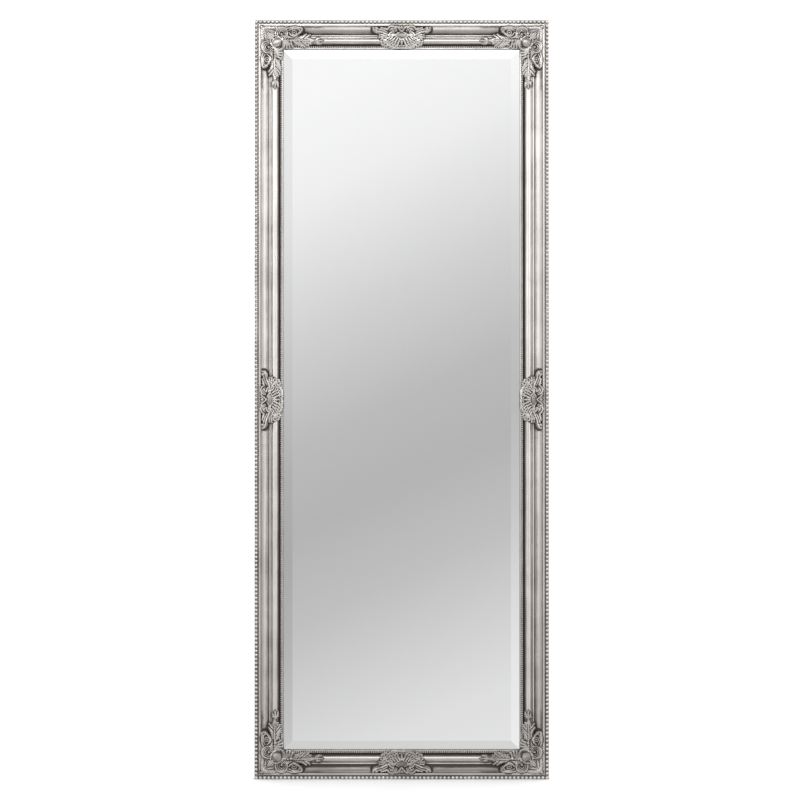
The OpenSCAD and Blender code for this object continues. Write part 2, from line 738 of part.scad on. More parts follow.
// D-ring, hanging down from its bar over the strap
module hanger_ring(hand) {
    bend = 2 * wire_r;
    straight = 2 * (ring_half_w - bend);
    color(STEEL) stand() hanger_place(hand) translate([0, 0, ring_z]) rotate([180, 0, 0]) {
        rotate([0, 90, 0]) cylinder(r = wire_r, h = straight, center = true);
        for (flip = [0, 1]) mirror([flip, 0, 0]) {
            translate([straight / 2, bend, 0]) rotate(270) rotate_extrude(angle = 90)
                translate([bend, 0]) circle(r = wire_r, $fn = 24);
            translate([ring_half_w, bend, 0]) rotate([-90, 0, 0]) cylinder(r = wire_r, h = ring_leg);
        }
        translate([0, bend + ring_leg, 0]) rotate_extrude(angle = 180)
            translate([ring_half_w, 0]) circle(r = wire_r, $fn = 24);
    }
}

// Places along one side where its turn buttons are screwed
function button_xs(side) = side % 2 == 1 ? [-button_pitch, 0, button_pitch] : [0];

module button_places(side) {
    for (x = button_xs(side)) on_side(side) translate([x, button_s, 0]) children();
}

// Turn button: a rounded tab on its screw, turned in over the board
module turn_button(side, index) {
    color(STEEL) stand() on_side(side) translate([button_xs(side)[index], button_s, -button_t - running])
        linear_extrude(height = button_t) difference() {
            union() {
                circle(r = button_w / 2);
                translate([-button_w / 2, 0]) square([button_w, button_l - button_w]);
                translate([0, button_l - button_w]) circle(r = button_w / 2);
            }
            circle(r = button_screw_r + running);
        }
}

module button_screw(clear) {
    if (clear > 0) screw_hole(button_screw_r, button_screw_l, clear);
    else wood_screw(button_screw_r, button_screw_l, 3.4, 2, button_t + 2 * running);
}

module wall_bumpers() {
    color("#3a3836") stand()
        for (side = [0:3]) on_corner(side) translate([bumper_set, bumper_set, -bumper_t - seat])
            cylinder(r1 = bumper_r - 0.8, r2 = bumper_r, h = bumper_t);
}

module bottom_rail() { color(WOOD) stand() frame_member(0); }
module top_rail() { color(WOOD) stand() frame_member(2); }
module left_stile() { color(WOOD) stand() frame_member(3); }
module right_stile() { color(WOOD) stand() frame_member(1); }
module outer_pearls_bottom() { color(LEAF) stand() outer_pearls(0); }
module outer_pearls_top() { color(LEAF) stand() outer_pearls(2); }
module outer_pearls_left() { color(LEAF) stand() outer_pearls(3); }
module outer_pearls_right() { color(LEAF) stand() outer_pearls(1); }
module inner_pearls_bottom() { color(LEAF) stand() inner_pearls(0); }
module inner_pearls_top() { color(LEAF) stand() inner_pearls(2); }
module inner_pearls_left() { color(LEAF) stand() inner_pearls(3); }
module inner_pearls_right() { color(LEAF) stand() inner_pearls(1); }
module corner_ornament_bottom_left() { color(LEAF) stand() corner_ornament(0); }
module corner_ornament_bottom_right() { color(LEAF) stand() corner_ornament(1); }
module corner_ornament_top_right() { color(LEAF) stand() corner_ornament(2); }
module corner_ornament_top_left() { color(LEAF) stand() corner_ornament(3); }
module centre_ornament_bottom() { color(LEAF) stand() centre_ornament(0); }
module centre_ornament_top() { color(LEAF) stand() centre_ornament(2); }
module centre_ornament_left() { color(LEAF) stand() centre_ornament(3); }
module centre_ornament_right() { color(LEAF) stand() centre_ornament(1); }
module mirror_glass() { color("#bcc6cb") stand() bevelled_plate(); }
module interleaf_sheet() { color("#e6e2d6") stand() panel(board_play, sheet_h, sheet_t); }
module backing_board() { color("#8a6b4b") stand() panel(board_play, 0, board_t); }
module corner_nails() { color(STEEL) stand() for (side = [0:3]) on_corner(side) nail_pair(0); }
module hanger_screws() { color(STEEL) stand() hanger_pair() hanger_screw_pair(0); }
module turn_button_screws() { color(STEEL) stand() for (side = [0:3]) button_places(side) button_screw(0); }

bottom_rail();
top_rail();
left_stile();
right_stile();
outer_pearls_bottom();
outer_pearls_top();
outer_pearls_left();
outer_pearls_right();
inner_pearls_bottom();
inner_pearls_top();
inner_pearls_left();
inner_pearls_right();
corner_ornament_bottom_left();
corner_ornament_bottom_right();
corner_ornament_top_right();
corner_ornament_top_left();
centre_ornament_bottom();
centre_ornament_top();
centre_ornament_left();
centre_ornament_right();
mirror_glass();
interleaf_sheet();
backing_board();
corner_nails();
hanger_strap(-1);  // hanger_strap_left
hanger_strap(1);  // hanger_strap_right
hanger_ring(-1);  // hanger_ring_left
hanger_ring(1);  // hanger_ring_right
hanger_screws();
turn_button(3, 2);  // turn_button_left_low
turn_button(3, 1);  // turn_button_left_mid
turn_button(3, 0);  // turn_button_left_high
turn_button(1, 0);  // turn_button_right_low
turn_button(1, 1);  // turn_button_right_mid
turn_button(1, 2);  // turn_button_right_high
turn_button(0, 0);  // turn_button_bottom
turn_button(2, 0);  // turn_button_top
turn_button_screws();
wall_bumpers();
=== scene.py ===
import math
from contextlib import contextmanager
from functools import cache

import bpy
import numpy as np
from mathutils import Matrix, Vector


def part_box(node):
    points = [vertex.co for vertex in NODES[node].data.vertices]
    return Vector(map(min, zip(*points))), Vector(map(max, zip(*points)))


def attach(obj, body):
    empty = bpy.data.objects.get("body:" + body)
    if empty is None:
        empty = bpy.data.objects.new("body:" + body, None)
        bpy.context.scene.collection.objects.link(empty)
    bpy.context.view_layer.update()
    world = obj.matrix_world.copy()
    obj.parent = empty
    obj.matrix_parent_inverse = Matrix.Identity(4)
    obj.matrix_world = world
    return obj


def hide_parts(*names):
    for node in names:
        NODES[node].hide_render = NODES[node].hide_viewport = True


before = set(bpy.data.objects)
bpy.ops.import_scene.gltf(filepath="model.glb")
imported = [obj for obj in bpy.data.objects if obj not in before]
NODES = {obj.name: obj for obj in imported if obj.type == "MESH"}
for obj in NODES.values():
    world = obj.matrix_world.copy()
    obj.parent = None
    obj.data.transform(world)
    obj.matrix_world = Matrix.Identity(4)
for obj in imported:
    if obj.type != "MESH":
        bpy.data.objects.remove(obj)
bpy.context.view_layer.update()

bl_info = {
    "name": "Leafed Full-Length Mirror",
    "version": (1, 0, 0),
    "blender": (4, 5, 0),
    "location": "3D View > Sidebar > Leafed Mirror",
    "description": "Dresses the packed mirror: moulding, beads, carving, glass, back and stage",
    "category": "Object",
}

# Names of the four sides and corners, in the order in which the frame is turned on its back
SIDES = ("bottom", "right", "top", "left")
MEMBERS = ("bottom_rail", "right_stile", "top_rail", "left_stile")
CORNERS = ("bottom_left", "bottom_right", "top_right", "top_left")
BODY = "framed_mirror"

MM = 0.001
WIDTH = 2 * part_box("right_stile")[1].x
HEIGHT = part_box("top_rail")[1].z
BACK_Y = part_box("right_stile")[1].y

# Section of the moulding in millimetres: distances in from the outer edge and heights above
# the back. A round is its centre's distance and height, and its radius.
RAIL_W = 62.0
REBATE_S = 56.0
COURSE_H = 25.962
FILLET_H = 30.962
SIGHT_H = 13.962
LIP_H = 8.962
GROOVE_H = 12.462
PEARL = (4.4, 27.962, 3.55)
COVE = (31.0, 36.362, 17.9)
RIDGE = (33.4, 17.262, 1.9)
TORUS = (44.7, 17.462, 7.2)
SEED = (57.6, 14.762, 2.1)
PEARL_BED_R = 3.6
SEED_BED_R = 2.15
PEARL_PITCH = 8.87
SEED_PITCH = 4.67

# Height of the carving over the moulding, by distance in from the outer edge
CARVE_S = (9.5, 18.6, 27.0, 44.7, 57.6, 62.0)
CARVE_H = (32.56, 32.16, 26.96, 27.96, 18.46, 16.26)
CARVE_TOP = 34.4
CARVE_FLOOR = 11.6
CARVE_NONE = -40.0

# Wash, from 0 for none to 1: on flat leaf, what the carving has over that, and the depths below
# the surroundings, close by and further round, at which a hollow is full of it
FLAT_WASH = 0.04
CARVING_WASH = 0.14
FINE_DEPTH, BROAD_DEPTH = 0.8, 9.0
# Wash at the foot of the cove, on the level members and on the upright ones, and the distances
# between which the cove lies. The wash grows from COVE_TOP inwards. The wash is patina, and the
# larger share on the level members is painted shade.
COVE_WASH_AND_SHADE = (0.85, 0.55)
COVE_S = (15.2, 31.2)
COVE_LOW, COVE_TOP, COVE_RUN, COVE_CURVE = 18, 15, 16, 1.6
# Wash on the inner flank of the torus: how much, where it begins, how far on it is full, and
# where it ends
FLANK_WASH, FLANK_S, FLANK_RUN, FLANK_END = 0.5, 46.5, 4.5, 52
# Courses whose wash is held between limits: from and to in distance, from and to in height,
# least and most
COURSES = (
    (-1, 9, -1, 99, 0, 0.26),  # bed of the large beads
    (8.3, 11, -1, FILLET_H - 1, 0.8, 0.8),  # quirk
    (9, 15.5, FILLET_H - 1, 99, 0.14, 9),  # fillet
    (33, 38, -1, 99, 0, 0.30),  # inner side of the ridge
)

# Screws: radius of the shank, length, radius and thickness of the head, and how far behind the
# frame the head sits
STRAP_SCREW = (1.9, 18, 3.6, 2.2, 1.3)
BUTTON_SCREW = (1.6, 12, 3.4, 2.0, 1.8)
# Places on the back: hangers below the top edge, holes in a strap below its loop, turn buttons
# along a stile and in from the outer edge, and bumpers in from both edges
HANGER_DROP = 340
STRAP_HOLES = (11, 37)
BUTTON_PITCH = 560
BUTTON_S = REBATE_S - 11
BUMPER_S = 14

# Middle and width in metres of what the camera sees at the frame
VIEW_AIM = Vector((-0.00369, -0.015, 0.8241))
VIEW_WIDTH = 1.73776
SENSOR = 36


# ---- settings


def length(name, text, default, low, high):
    """A size in metres that a user may change."""
    return bpy.props.FloatProperty(
        name=name, description=text, default=default, min=low, max=high,
        subtype="DISTANCE", unit="LENGTH", precision=4,
    )


def share(name, text, default, low=0.0, high=1.0):
    """A plain number that a user may change."""
    return bpy.props.FloatProperty(name=name, description=text, default=default, min=low, max=high)


def tint(name, text, default):
    """A colour that a user may change."""
    return bpy.props.FloatVectorProperty(
        name=name, description=text, default=default, size=3, min=0, max=1, subtype="COLOR"
    )


class LeafSettings(bpy.types.PropertyGroup):
    bright: tint("Leaf", "Colour of the silver leaf where it is rubbed clean", (0.86, 0.84, 0.81))
    dull: tint("Dull leaf", "Colour of the leaf under its thin wash", (0.505, 0.473, 0.448))
    wash: tint("Wash", "Colour of the dark wash left in the hollows", (0.051, 0.037, 0.031))
    strength: share("Wash strength", "How much of the dark wash stays in the hollows", 1.0, 0, 2)
    # painted shade: how much darker the leaf is made towards the foot of the frame
    painted_foot_shade: share("Wash at the foot", "How much more wash there is at the foot of the frame", 0.22)
    polish: share("Roughness", "Roughness of the clean leaf", 0.29)


class MouldingSettings(bpy.types.PropertyGroup):
    easing: length("Easing", "Radius of the eased arrises", 0.0004, 0.0001, 0.001)
    step: length("Step", "Spacing of the cuts beside the ornaments", 0.003, 0.002, 0.01)
    wood: tint("Wood", "Colour of the bare wood at the back", (0.50, 0.36, 0.22))


class BeadSettings(bpy.types.PropertyGroup):
    segments: bpy.props.IntProperty(
        name="Segments", description="Sides of a large bead", default=10, min=6, max=16
    )
    thread: length("Thread", "Radius of the thread between the large beads", 0.0015, 0.0005, 0.002)


class CarvingSettings(bpy.types.PropertyGroup):
    cell: length("Cell", "Spacing of the points of a carving", 0.0005, 0.0004, 0.002)
    wall: share("Undercut", "Steepness of the carving's sides", 3.2, 1, 8)


class BackSettings(bpy.types.PropertyGroup):
    board: tint("Board", "Colour of the hardboard", (0.235, 0.135, 0.072))
    zinc: tint("Zinc", "Colour of the plated hardware", (0.62, 0.63, 0.64))
    rubber: tint("Rubber", "Colour of the wall bumpers", (0.028, 0.027, 0.026))


class StageSettings(bpy.types.PropertyGroup):
    distance: length("Camera distance", "Distance from the camera to the frame", 6.0, 3, 12)
    floor: length("Floor", "Width of the pale floor", 14.0, 2, 40)
    key: share("Key light", "Power of the large soft light above", 25.0, 0, 1000)


class MirrorSettings(bpy.types.PropertyGroup):
    leaf: bpy.props.PointerProperty(type=LeafSettings, name="Leaf")
    moulding: bpy.props.PointerProperty(type=MouldingSettings, name="Moulding")
    beads: bpy.props.PointerProperty(type=BeadSettings, name="Beads")
    carving: bpy.props.PointerProperty(type=CarvingSettings, name="Carving")
    back: bpy.props.PointerProperty(type=BackSettings, name="Back")
    stage: bpy.props.PointerProperty(type=StageSettings, name="Stage")


def settings():
    return bpy.context.scene.leafed_mirror


# ---- places and hand tools


def side_length(side):
    return WIDTH if side % 2 == 0 else HEIGHT


def side_place(side, along=0.0, into=0.0, up=0.0):
    """Puts a piece that is drawn along a side in its place: x along the side from its middle,
    y in from the outer edge, z towards the viewer from the back."""
    return (
        Matrix.Translation((0, BACK_Y, 0))
        @ Matrix.Rotation(math.pi / 2, 4, "X")
        @ Matrix.Translation((0, HEIGHT / 2, 0))
        @ Matrix.Rotation(side * math.pi / 2, 4, "Z")
        @ Matrix.Translation((0, -side_length(side + 1) / 2, 0))
        @ Matrix.Translation((along, into, up))
    )


def corner_place(side, into=0.0):
    """The same with x measured from the corner at which the side begins."""
    return side_place(side, -side_length(side) / 2) @ Matrix.Translation((into, into, 0))


def clear():
    """Leaves edit mode and deselects everything."""
    if bpy.context.object and bpy.context.object.mode != "OBJECT":
        bpy.ops.object.mode_set(mode="OBJECT")
    bpy.ops.object.select_all(action="DESELECT")


def fresh(name):
    """Names the piece that a primitive operator has just added."""
    piece = bpy.context.active_object
    piece.name = name
    piece.data.name = name
    return piece


def pick(piece):
    clear()
    piece.select_set(True)
    bpy.context.view_layer.objects.active = piece


def start(add, name, **facts):
    """Adds a primitive at its size and place, and moves both into its mesh."""
    clear()
    add(**facts)
    piece = fresh(name)
    settle(piece)
    return piece


@contextmanager
def shaping(piece, kind="FACE", everything=False):
    """Edit mode on one piece, with what was chosen before or with everything selected."""
    pick(piece)
    bpy.context.tool_settings.mesh_select_mode = (kind == "VERT", kind == "EDGE", kind == "FACE")
    bpy.ops.object.mode_set(mode="EDIT")
    if everything:
        bpy.ops.mesh.select_all(action="SELECT")
    yield
    bpy.ops.object.mode_set(mode="OBJECT")


def pull(x=0, y=0, z=0):
    """Extrudes what is selected in edit mode."""
    bpy.ops.mesh.extrude_region_move(TRANSFORM_OT_translate={"value": (x, y, z)})


def choose(piece, kind, chosen):
    """Selects only the chosen vertices or polygons, in object mode."""
    pick(piece)
    for each in ("vertices", "edges", "polygons"):
        elements = getattr(piece.data, each)
        elements.foreach_set("select", chosen if each == kind else np.zeros(len(elements), bool))


def choose_faces(piece, wanted):
    """Selects the faces whose centre and normal pass the test."""
    choose(piece, "polygons", [bool(wanted(f.center, f.normal)) for f in piece.data.polygons])


def read(elements, key, width=1, kind=np.int32):
    """One fact of every element of a mesh."""
    values = np.zeros(len(elements) * width, kind)
    elements.foreach_get(key, values)
    return values.reshape(-1, width) if width > 1 else values


def points_of(piece):
    return read(piece.data.vertices, "co", 3, np.float32).astype(float)


def set_points(piece, co):
    piece.data.vertices.foreach_set("co", np.asarray(co, np.float32).ravel())
    piece.data.update()


def store(piece, name, values):
    """Keeps one number per point with the mesh, for the finish to read."""
    layer = piece.data.attributes.get(name) or piece.data.attributes.new(name, "FLOAT", "POINT")
    layer.data.foreach_set("value", np.clip(values, 0, 1).astype(np.float32))


def outward(piece):
    with shaping(piece, everything=True):
        bpy.ops.mesh.normals_make_consistent(inside=False)


def smooth(piece, degrees):
    """Shades smooth but for arrises sharper than an angle."""
    pick(piece)
    bpy.ops.object.shade_smooth_by_angle(angle=math.radians(degrees))


def apply_modifier(piece, kind, **facts):
    pick(piece)
    modifier = piece.modifiers.new(kind.title(), kind)
    for key, value in facts.items():
        setattr(modifier, key, value)
    bpy.ops.object.modifier_apply(modifier=modifier.name)


def settle(piece):
    """Moves a piece's place, turn and size into its mesh."""
    pick(piece)
    bpy.ops.object.transform_apply(location=True, rotation=True, scale=True)


def placed_copy(piece, name, place):
    """A copy with its own mesh, put in its place."""
    copy = piece.copy()
    copy.data = piece.data.copy()
    copy.name = name
    copy.data.name = name
    bpy.context.scene.collection.objects.link(copy)
    copy.data.transform(place)
    return copy


def discard(piece):
    mesh = piece.data
    bpy.data.objects.remove(piece)
    bpy.data.meshes.remove(mesh)


def join(pieces, name):
    clear()
    for piece in pieces:
        piece.select_set(True)
    bpy.context.view_layer.objects.active = pieces[0]
    bpy.ops.object.join()
    return fresh(name)


def finish_piece(piece, finish, node):
    """Gives a piece its finish, the body it rides on and the node it stands for."""
    piece.data.materials.clear()
    piece.data.materials.append(finish_named(finish))
    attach(piece, BODY)
    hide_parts(node)


def dress(node, finish):
    """Gives a node that stays its finish."""
    mesh = NODES[node].data
    mesh.materials.clear()
    mesh.materials.append(finish_named(finish))


def copy_round(model, sides, place, words, name, node, finish):
    """Copies a model to some sides, finishes each copy, and discards the model. The names of a
    piece and its node end in the word of the side or corner."""
    for side in sides:
        piece = placed_copy(model, name + words[side], place(side))
        finish_piece(piece, finish, node + words[side])
    discard(model)


def scatter(model, places, name, node, finish):
    """Copies a model to several places as one finished piece, and discards the model."""
    copies = [placed_copy(model, f"{name}_{i}", place) for i, place in enumerate(places)]
    discard(model)
    finish_piece(join(copies, name), finish, node)


# ---- finishes


class Finish:
    """Nodes of a material or of the room, with short calls for what every finish here needs."""

    def __init__(self, name, kind="materials", place="Object"):
        self.owner = getattr(bpy.data, kind).new(name)
        self.owner.use_nodes = True
        self.tree = self.owner.node_tree
        self.tree.nodes.clear()
        self.place = self.add("TexCoord").outputs[place]

    def add(self, kind, inputs=(), **facts):
        """Adds a node. Each input is a link or a constant."""
        made = self.tree.nodes.new("ShaderNode" + kind)
        for key, value in facts.items():
            setattr(made, key, value)
        for key, value in dict(inputs).items():
            socket = made.inputs[key]
            if isinstance(value, bpy.types.NodeSocket):
                self.tree.links.new(value, socket)
            else:
                socket.default_value = (*value, 1) if socket.type == "RGBA" else value
        return made

    def stretched(self, scale, turn=(0, 0, 0)):
        inputs = {"Vector": self.place, "Rotation": turn, "Scale": scale}
        return self.add("Mapping", inputs).outputs[0]

    def noise(self, scale, detail=3.0, rough=0.5, place=None):
        inputs = {"Scale": scale, "Detail": detail, "Roughness": rough}
        return self.add("TexNoise", {"Vector": place or self.place, **inputs}).outputs[0]

    def ramp(self, value, *stops):
        """Stops are (place, colour or grey)."""
        made = self.add("ValToRGB", {0: value})
        elements = made.color_ramp.elements
        while len(elements) < len(stops):
            elements.new(0.5)
        for element, (at, colour) in zip(elements, stops):
            element.position = at
            element.color = (*(colour if np.iterable(colour) else (colour,) * 3), 1)
        return made.outputs[0]

    def maths(self, kind, *values):
        return self.add("Math", enumerate(values), operation=kind).outputs[0]

    def stir(self, base, noise, amount):
        """The base with a noise that raises and lowers it."""
        return self.maths("MULTIPLY_ADD", self.maths("SUBTRACT", noise, 0.5), amount, base)

    def mix(self, part, a, b, kind="MIX"):
        inputs = {0: part, 6: a, 7: b}
        return self.add("Mix", inputs, data_type="RGBA", blend_type=kind).outputs[2]

    def level(self, value, low, high, to_low=0.0, to_high=1.0):
        inputs = enumerate((value, low, high, to_low, to_high))
        return self.add("MapRange", inputs).outputs[0]

    def attribute(self, name):
        return self.add("Attribute", attribute_name=name).outputs["Fac"]

    def axis(self, which):
        return self.add("SeparateXYZ", {0: self.place}).outputs[which]

    def bump(self, height, strength, distance):
        inputs = {"Height": height, "Strength": strength, "Distance": distance}
        return self.add("Bump", inputs).outputs[0]

    def finish(self, **sockets):
        """Ends a material. Underscores in the sockets' names are spaces."""
        inputs = {name.replace("_", " "): value for name, value in sockets.items()}
        shader = self.add("BsdfPrincipled", inputs)
        self.add("OutputMaterial", {0: shader.outputs[0]})
        return self.owner


def shaded(colour, tone):
    """A colour made darker or lighter."""
    return [min(1, c * tone) for c in colour]


def leaf_finish(name, streak, bare_back=False):
    """Rubbed silver leaf under a dark wash that stays in the hollows, with painted shade that makes
    it darker towards the foot of the frame. streak is how fast the fine brush lines change along x,
    y and z."""
    leaf = settings().leaf
    f = Finish(name)
    fine = f.noise(1.0, 5, 0.62, f.stretched(streak))
    broad = f.noise(1.0, 3, 0.5, f.stretched([v * 0.22 for v in streak]))
    cloud = f.noise(16, 4, 0.55)
    speck = f.noise(620, 3, 0.6)
    hollow = f.maths("MULTIPLY", f.attribute("hollow"), leaf.strength)
    wash_and_painted_shade = hollow
    for noise, amount in ((cloud, 0.42), (fine, 0.34), (broad, 0.38), (speck, 0.30)):
        wash_and_painted_shade = f.stir(wash_and_painted_shade, noise, amount)
    # painted shade: the leaf is made darker towards the foot of the frame, most in the hollows
    foot = f.level(f.axis("Z"), 0, 1.1, leaf.painted_foot_shade, 0)
    wash_and_painted_shade = f.maths("MULTIPLY_ADD", foot, f.maths("MULTIPLY_ADD", hollow, 1.5, 0.45), wash_and_painted_shade)
    thin = f.level(wash_and_painted_shade, -0.05, 0.42)
    thick = f.level(wash_and_painted_shade, 0.30, 0.78)
    colour = f.mix(thick, f.mix(thin, leaf.bright[:], leaf.dull[:]), leaf.wash[:])
    metal = f.level(thick, 0, 1, 1.0, 0.25)
    rough = f.level(thin, 0, 1, leaf.polish, leaf.polish + 0.12)
    rough = f.stir(f.maths("ADD", rough, f.level(thick, 0, 1, 0, 0.25)), speck, 0.12)
    grain = f.bump(f.maths("MULTIPLY_ADD", fine, 0.7, speck), 0.35, 0.00012)
    if bare_back:
        wood = settings().moulding.wood[:]
        behind = f.level(f.axis("Y"), BACK_Y - 0.0022, BACK_Y - 0.0008)
        rings = f.noise(1.0, 6, 0.65, f.stretched([v * 0.3 for v in streak]))
        grown = f.ramp(rings, (0.28, shaded(wood, 0.55)), (0.5, wood), (0.72, shaded(wood, 1.3)))
        colour = f.mix(behind, colour, grown)
        metal = f.maths("MULTIPLY", metal, f.maths("SUBTRACT", 1.0, behind))
        rough = f.maths("ADD", rough, f.level(behind, 0, 1, 0, 0.35))
    return f.finish(Base_Color=colour, Metallic=metal, Roughness=rough, Normal=grain)


def glass_finish():
    """Silvered glass with a faint waviness, painted grey on its back."""
    f = Finish("silvered_glass")
    film = f.noise(40, 4, 0.6)
    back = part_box("mirror_glass")[1].y
    painted = f.level(f.axis("Y"), back - 0.0006, back - 0.0002)
    colour = f.mix(film, (0.965, 0.972, 0.970), (0.985, 0.988, 0.987))
    colour = f.mix(painted, colour, (0.16, 0.17, 0.18))
    rough = f.maths("ADD", f.level(film, 0.3, 0.8, 0.012, 0.03), f.level(painted, 0, 1, 0, 0.6))
    metal = f.maths("SUBTRACT", 1.0, painted)
    ripple = f.bump(f.noise(2.6, 2, 0.4), 0.02, 0.0006)
    return f.finish(Base_Color=colour, Metallic=metal, Roughness=rough, Normal=ripple)


def board_finish():
    """Hardboard: pressed fibres, darker flecks and a dusty face."""
    board = settings().back.board[:]
    f = Finish("hardboard")
    fibre = f.noise(1.0, 6, 0.7, f.stretched((420, 420, 130), (0, 0.5, 0)))
    cross = f.noise(1.0, 5, 0.7, f.stretched((120, 420, 460), (0, -0.35, 0)))
    mixed = f.maths("MULTIPLY", f.maths("ADD", fibre, cross), 0.5)
    colour = f.ramp(mixed, (0.34, shaded(board, 0.5)), (0.5, board), (0.66, shaded(board, 1.7)))
    dust = f.level(f.noise(7, 3, 0.5), 0.3, 0.75, 0, 0.35)
    colour = f.mix(dust, colour, shaded(board, 1.45))
    rough = f.level(mixed, 0.3, 0.7, 0.62, 0.85)
    return f.finish(Base_Color=colour, Roughness=rough, Normal=f.bump(mixed, 0.5, 0.0004))


def paper_finish():
    """Kraft interleaf with a soft fibre."""
    f = Finish("interleaf_paper")
    fibre = f.noise(1.0, 5, 0.6, f.stretched((300, 300, 300)))
    colour = f.ramp(fibre, (0.3, (0.62, 0.58, 0.48)), (0.7, (0.80, 0.77, 0.68)))
    return f.finish(Base_Color=colour, Roughness=0.85, Normal=f.bump(fibre, 0.3, 0.0002))


def zinc_finish(name="zinc_plate", tone=1.0):
    """Bright zinc plate: crystals, fine scratches and a little white bloom."""
    zinc = shaded(settings().back.zinc, tone)
    f = Finish(name)
    spangle = f.add("TexVoronoi", {"Vector": f.place, "Scale": 420}, feature="F1")
    scratch = f.noise(1.0, 4, 0.6, f.stretched((1500, 200, 150), (0, 0.4, 0)))
    bloom = f.noise(90, 4, 0.6)
    crystals = f.level(spangle.outputs["Color"], 0, 1, 0, 0.3)
    colour = f.mix(crystals, zinc, shaded(zinc, 0.62))
    colour = f.mix(f.level(bloom, 0.55, 0.8, 0, 0.45), colour, (0.72, 0.72, 0.70))
    rough = f.level(scratch, 0.3, 0.7, 0.24, 0.40)
    rough = f.maths("ADD", rough, f.level(bloom, 0.5, 0.8, 0, 0.2))
    grain = f.bump(scratch, 0.25, 0.0001)
    return f.finish(Base_Color=colour, Metallic=0.95, Roughness=rough, Normal=grain)


def rubber_finish():
    """Matt rubber with dust and a fine moulded grain."""
    rubber = settings().back.rubber[:]
    f = Finish("bumper_rubber")
    dust = f.noise(160, 5, 0.65)
    colour = f.ramp(dust, (0.42, rubber), (0.75, [c + 0.05 for c in rubber]))
    grain = f.bump(f.noise(1500, 2, 0.5), 0.3, 0.0001)
    rough = f.level(dust, 0.3, 0.7, 0.55, 0.8)
    return f.finish(Base_Color=colour, Roughness=rough, Normal=grain)


def floor_finish():
    f = Finish("pale_floor")
    cloud = f.noise(1.1, 3, 0.5)
    colour = f.mix(f.level(cloud, 0.3, 0.7), (0.93, 0.93, 0.93), (0.95, 0.95, 0.95))
    return f.finish(Base_Color=colour, Roughness=0.9)


@cache
def finish_named(name):
    """One material of each kind, made when it is first asked for."""
    makers = {
        "leaf_upright": lambda: leaf_finish(name, (1500, 1500, 26), bare_back=True),
        "leaf_level": lambda: leaf_finish(name, (26, 1500, 1500), bare_back=True),
        "leaf_beads": lambda: leaf_finish(name, (300, 300, 300)),
        "leaf_carving": lambda: leaf_finish(name, (420, 420, 420)),
        "glass": glass_finish,
        "board": board_finish,
        "paper": paper_finish,
        "zinc": zinc_finish,
        "nail": lambda: zinc_finish("nail_steel", 0.6),
        "rubber": rubber_finish,
        "floor": floor_finish,
    }
    return makers[name]()


# ---- section of the moulding


def spread(values, count):
    """One or more numbers spaced evenly along a stroke."""
    values = [values] if np.isscalar(values) else values
    return np.interp(np.linspace(0, 1, count), np.linspace(0, 1, len(values)), values)


def bow(centre, radius, begin, end, count=9):
    """Points round a centre, from one angle to another in degrees."""
    turns = zip(spread(radius, count), np.radians(np.linspace(begin, end, count)))
    return [(centre[0] + r * math.cos(a), centre[1] + r * math.sin(a)) for r, a in turns]


def oval(centre, half_l, half_w, turn=0.0):
    """Points round an oval, turned by an angle in radians."""
    c, s = math.cos(turn), math.sin(turn)
    return [
        (
            centre[0] + half_l * math.cos(t) * c - half_w * math.sin(t) * s,
            centre[1] + half_l * math.cos(t) * s + half_w * math.sin(t) * c,
        )
        for t in np.linspace(0, 2 * math.pi, 25)
    ]


def bead_bed(round_, radius, level, count):
    """The hollow that a string of beads lies in, cut into a face at the given level."""
    dip = math.degrees(math.asin((round_[1] - level) / radius))
    return bow(round_, radius, 180 + dip, 360 - dip, count)


def front_line():
    """The moulding's face, from the outer edge to the sight edge."""
    quirk_h, ridge_h, flat_h = FILLET_H - 2.2, RIDGE[1] + 0.3, 16.9
    cove_s = 14.6
    lean = math.degrees(math.acos((cove_s - COVE[0]) / COVE[2]))
    return (
        [(0, COURSE_H)]
        + bead_bed(PEARL, PEARL_BED_R, COURSE_H, 9)
        + [(9.1, COURSE_H), (9.5, FILLET_H), (13.5, FILLET_H), (13.6, quirk_h), (14.16, quirk_h)]
        + bow(COVE, COVE[2], 360 - lean, 270, 19)
        + [(RIDGE[0] - RIDGE[2], ridge_h)]
        + bow(RIDGE, RIDGE[2], 172, 8, 9)
        + [(35.6, flat_h), (37.5, flat_h)]
        + bow(TORUS, TORUS[2], 180, 0, 25)
        + [(51.9, GROOVE_H), (54.5, GROOVE_H), (54.5, SIGHT_H)]
        + bead_bed(SEED, SEED_BED_R, SIGHT_H, 7)
        + [(RAIL_W, SIGHT_H)]
    )


def eased(outline, radius):
    """The closed outline with its sharp arrises rounded a little."""
    straight = math.cos(math.radians(24))
    made = []
    for i, here in enumerate(outline):
        here = np.array(here, float)
        back = np.array(outline[i - 1], float) - here
        ahead = np.array(outline[(i + 1) % len(outline)], float) - here
        a, b = np.linalg.norm(back), np.linalg.norm(ahead)
        if a < 1e-6 or b < 1e-6:
            continue
        if -(back @ ahead) / (a * b) > straight:
            made.append(here)
            continue
        reach = min(radius, 0.4 * a, 0.4 * b)
        p, q = here + back / a * reach, here + ahead / b * reach
        made += [p, 0.25 * p + 0.5 * here + 0.25 * q, q]
    return made


def moulding_outline(easing):
    chamfer = 1.5
    back = [(RAIL_W, LIP_H), (REBATE_S, LIP_H), (REBATE_S, 0), (chamfer, 0), (0, chamfer)]
    return eased(front_line() + back, easing)


def moulding_level(s):
    """Height of the moulding's face, beads included, at a distance in from the outer edge."""
    line = np.array(front_line())
    order = np.argsort(line[:, 0], kind="stable")
    level = np.interp(s, line[order, 0], line[order, 1], right=LIP_H)
    for bead_s, bead_h, radius in (PEARL, SEED):
        over = np.sqrt(np.maximum(0, radius**2 - (s - bead_s) ** 2))
        level = np.where(over > 0, np.maximum(level, bead_h + over * 0.55), level)
    return level


# ---- carving


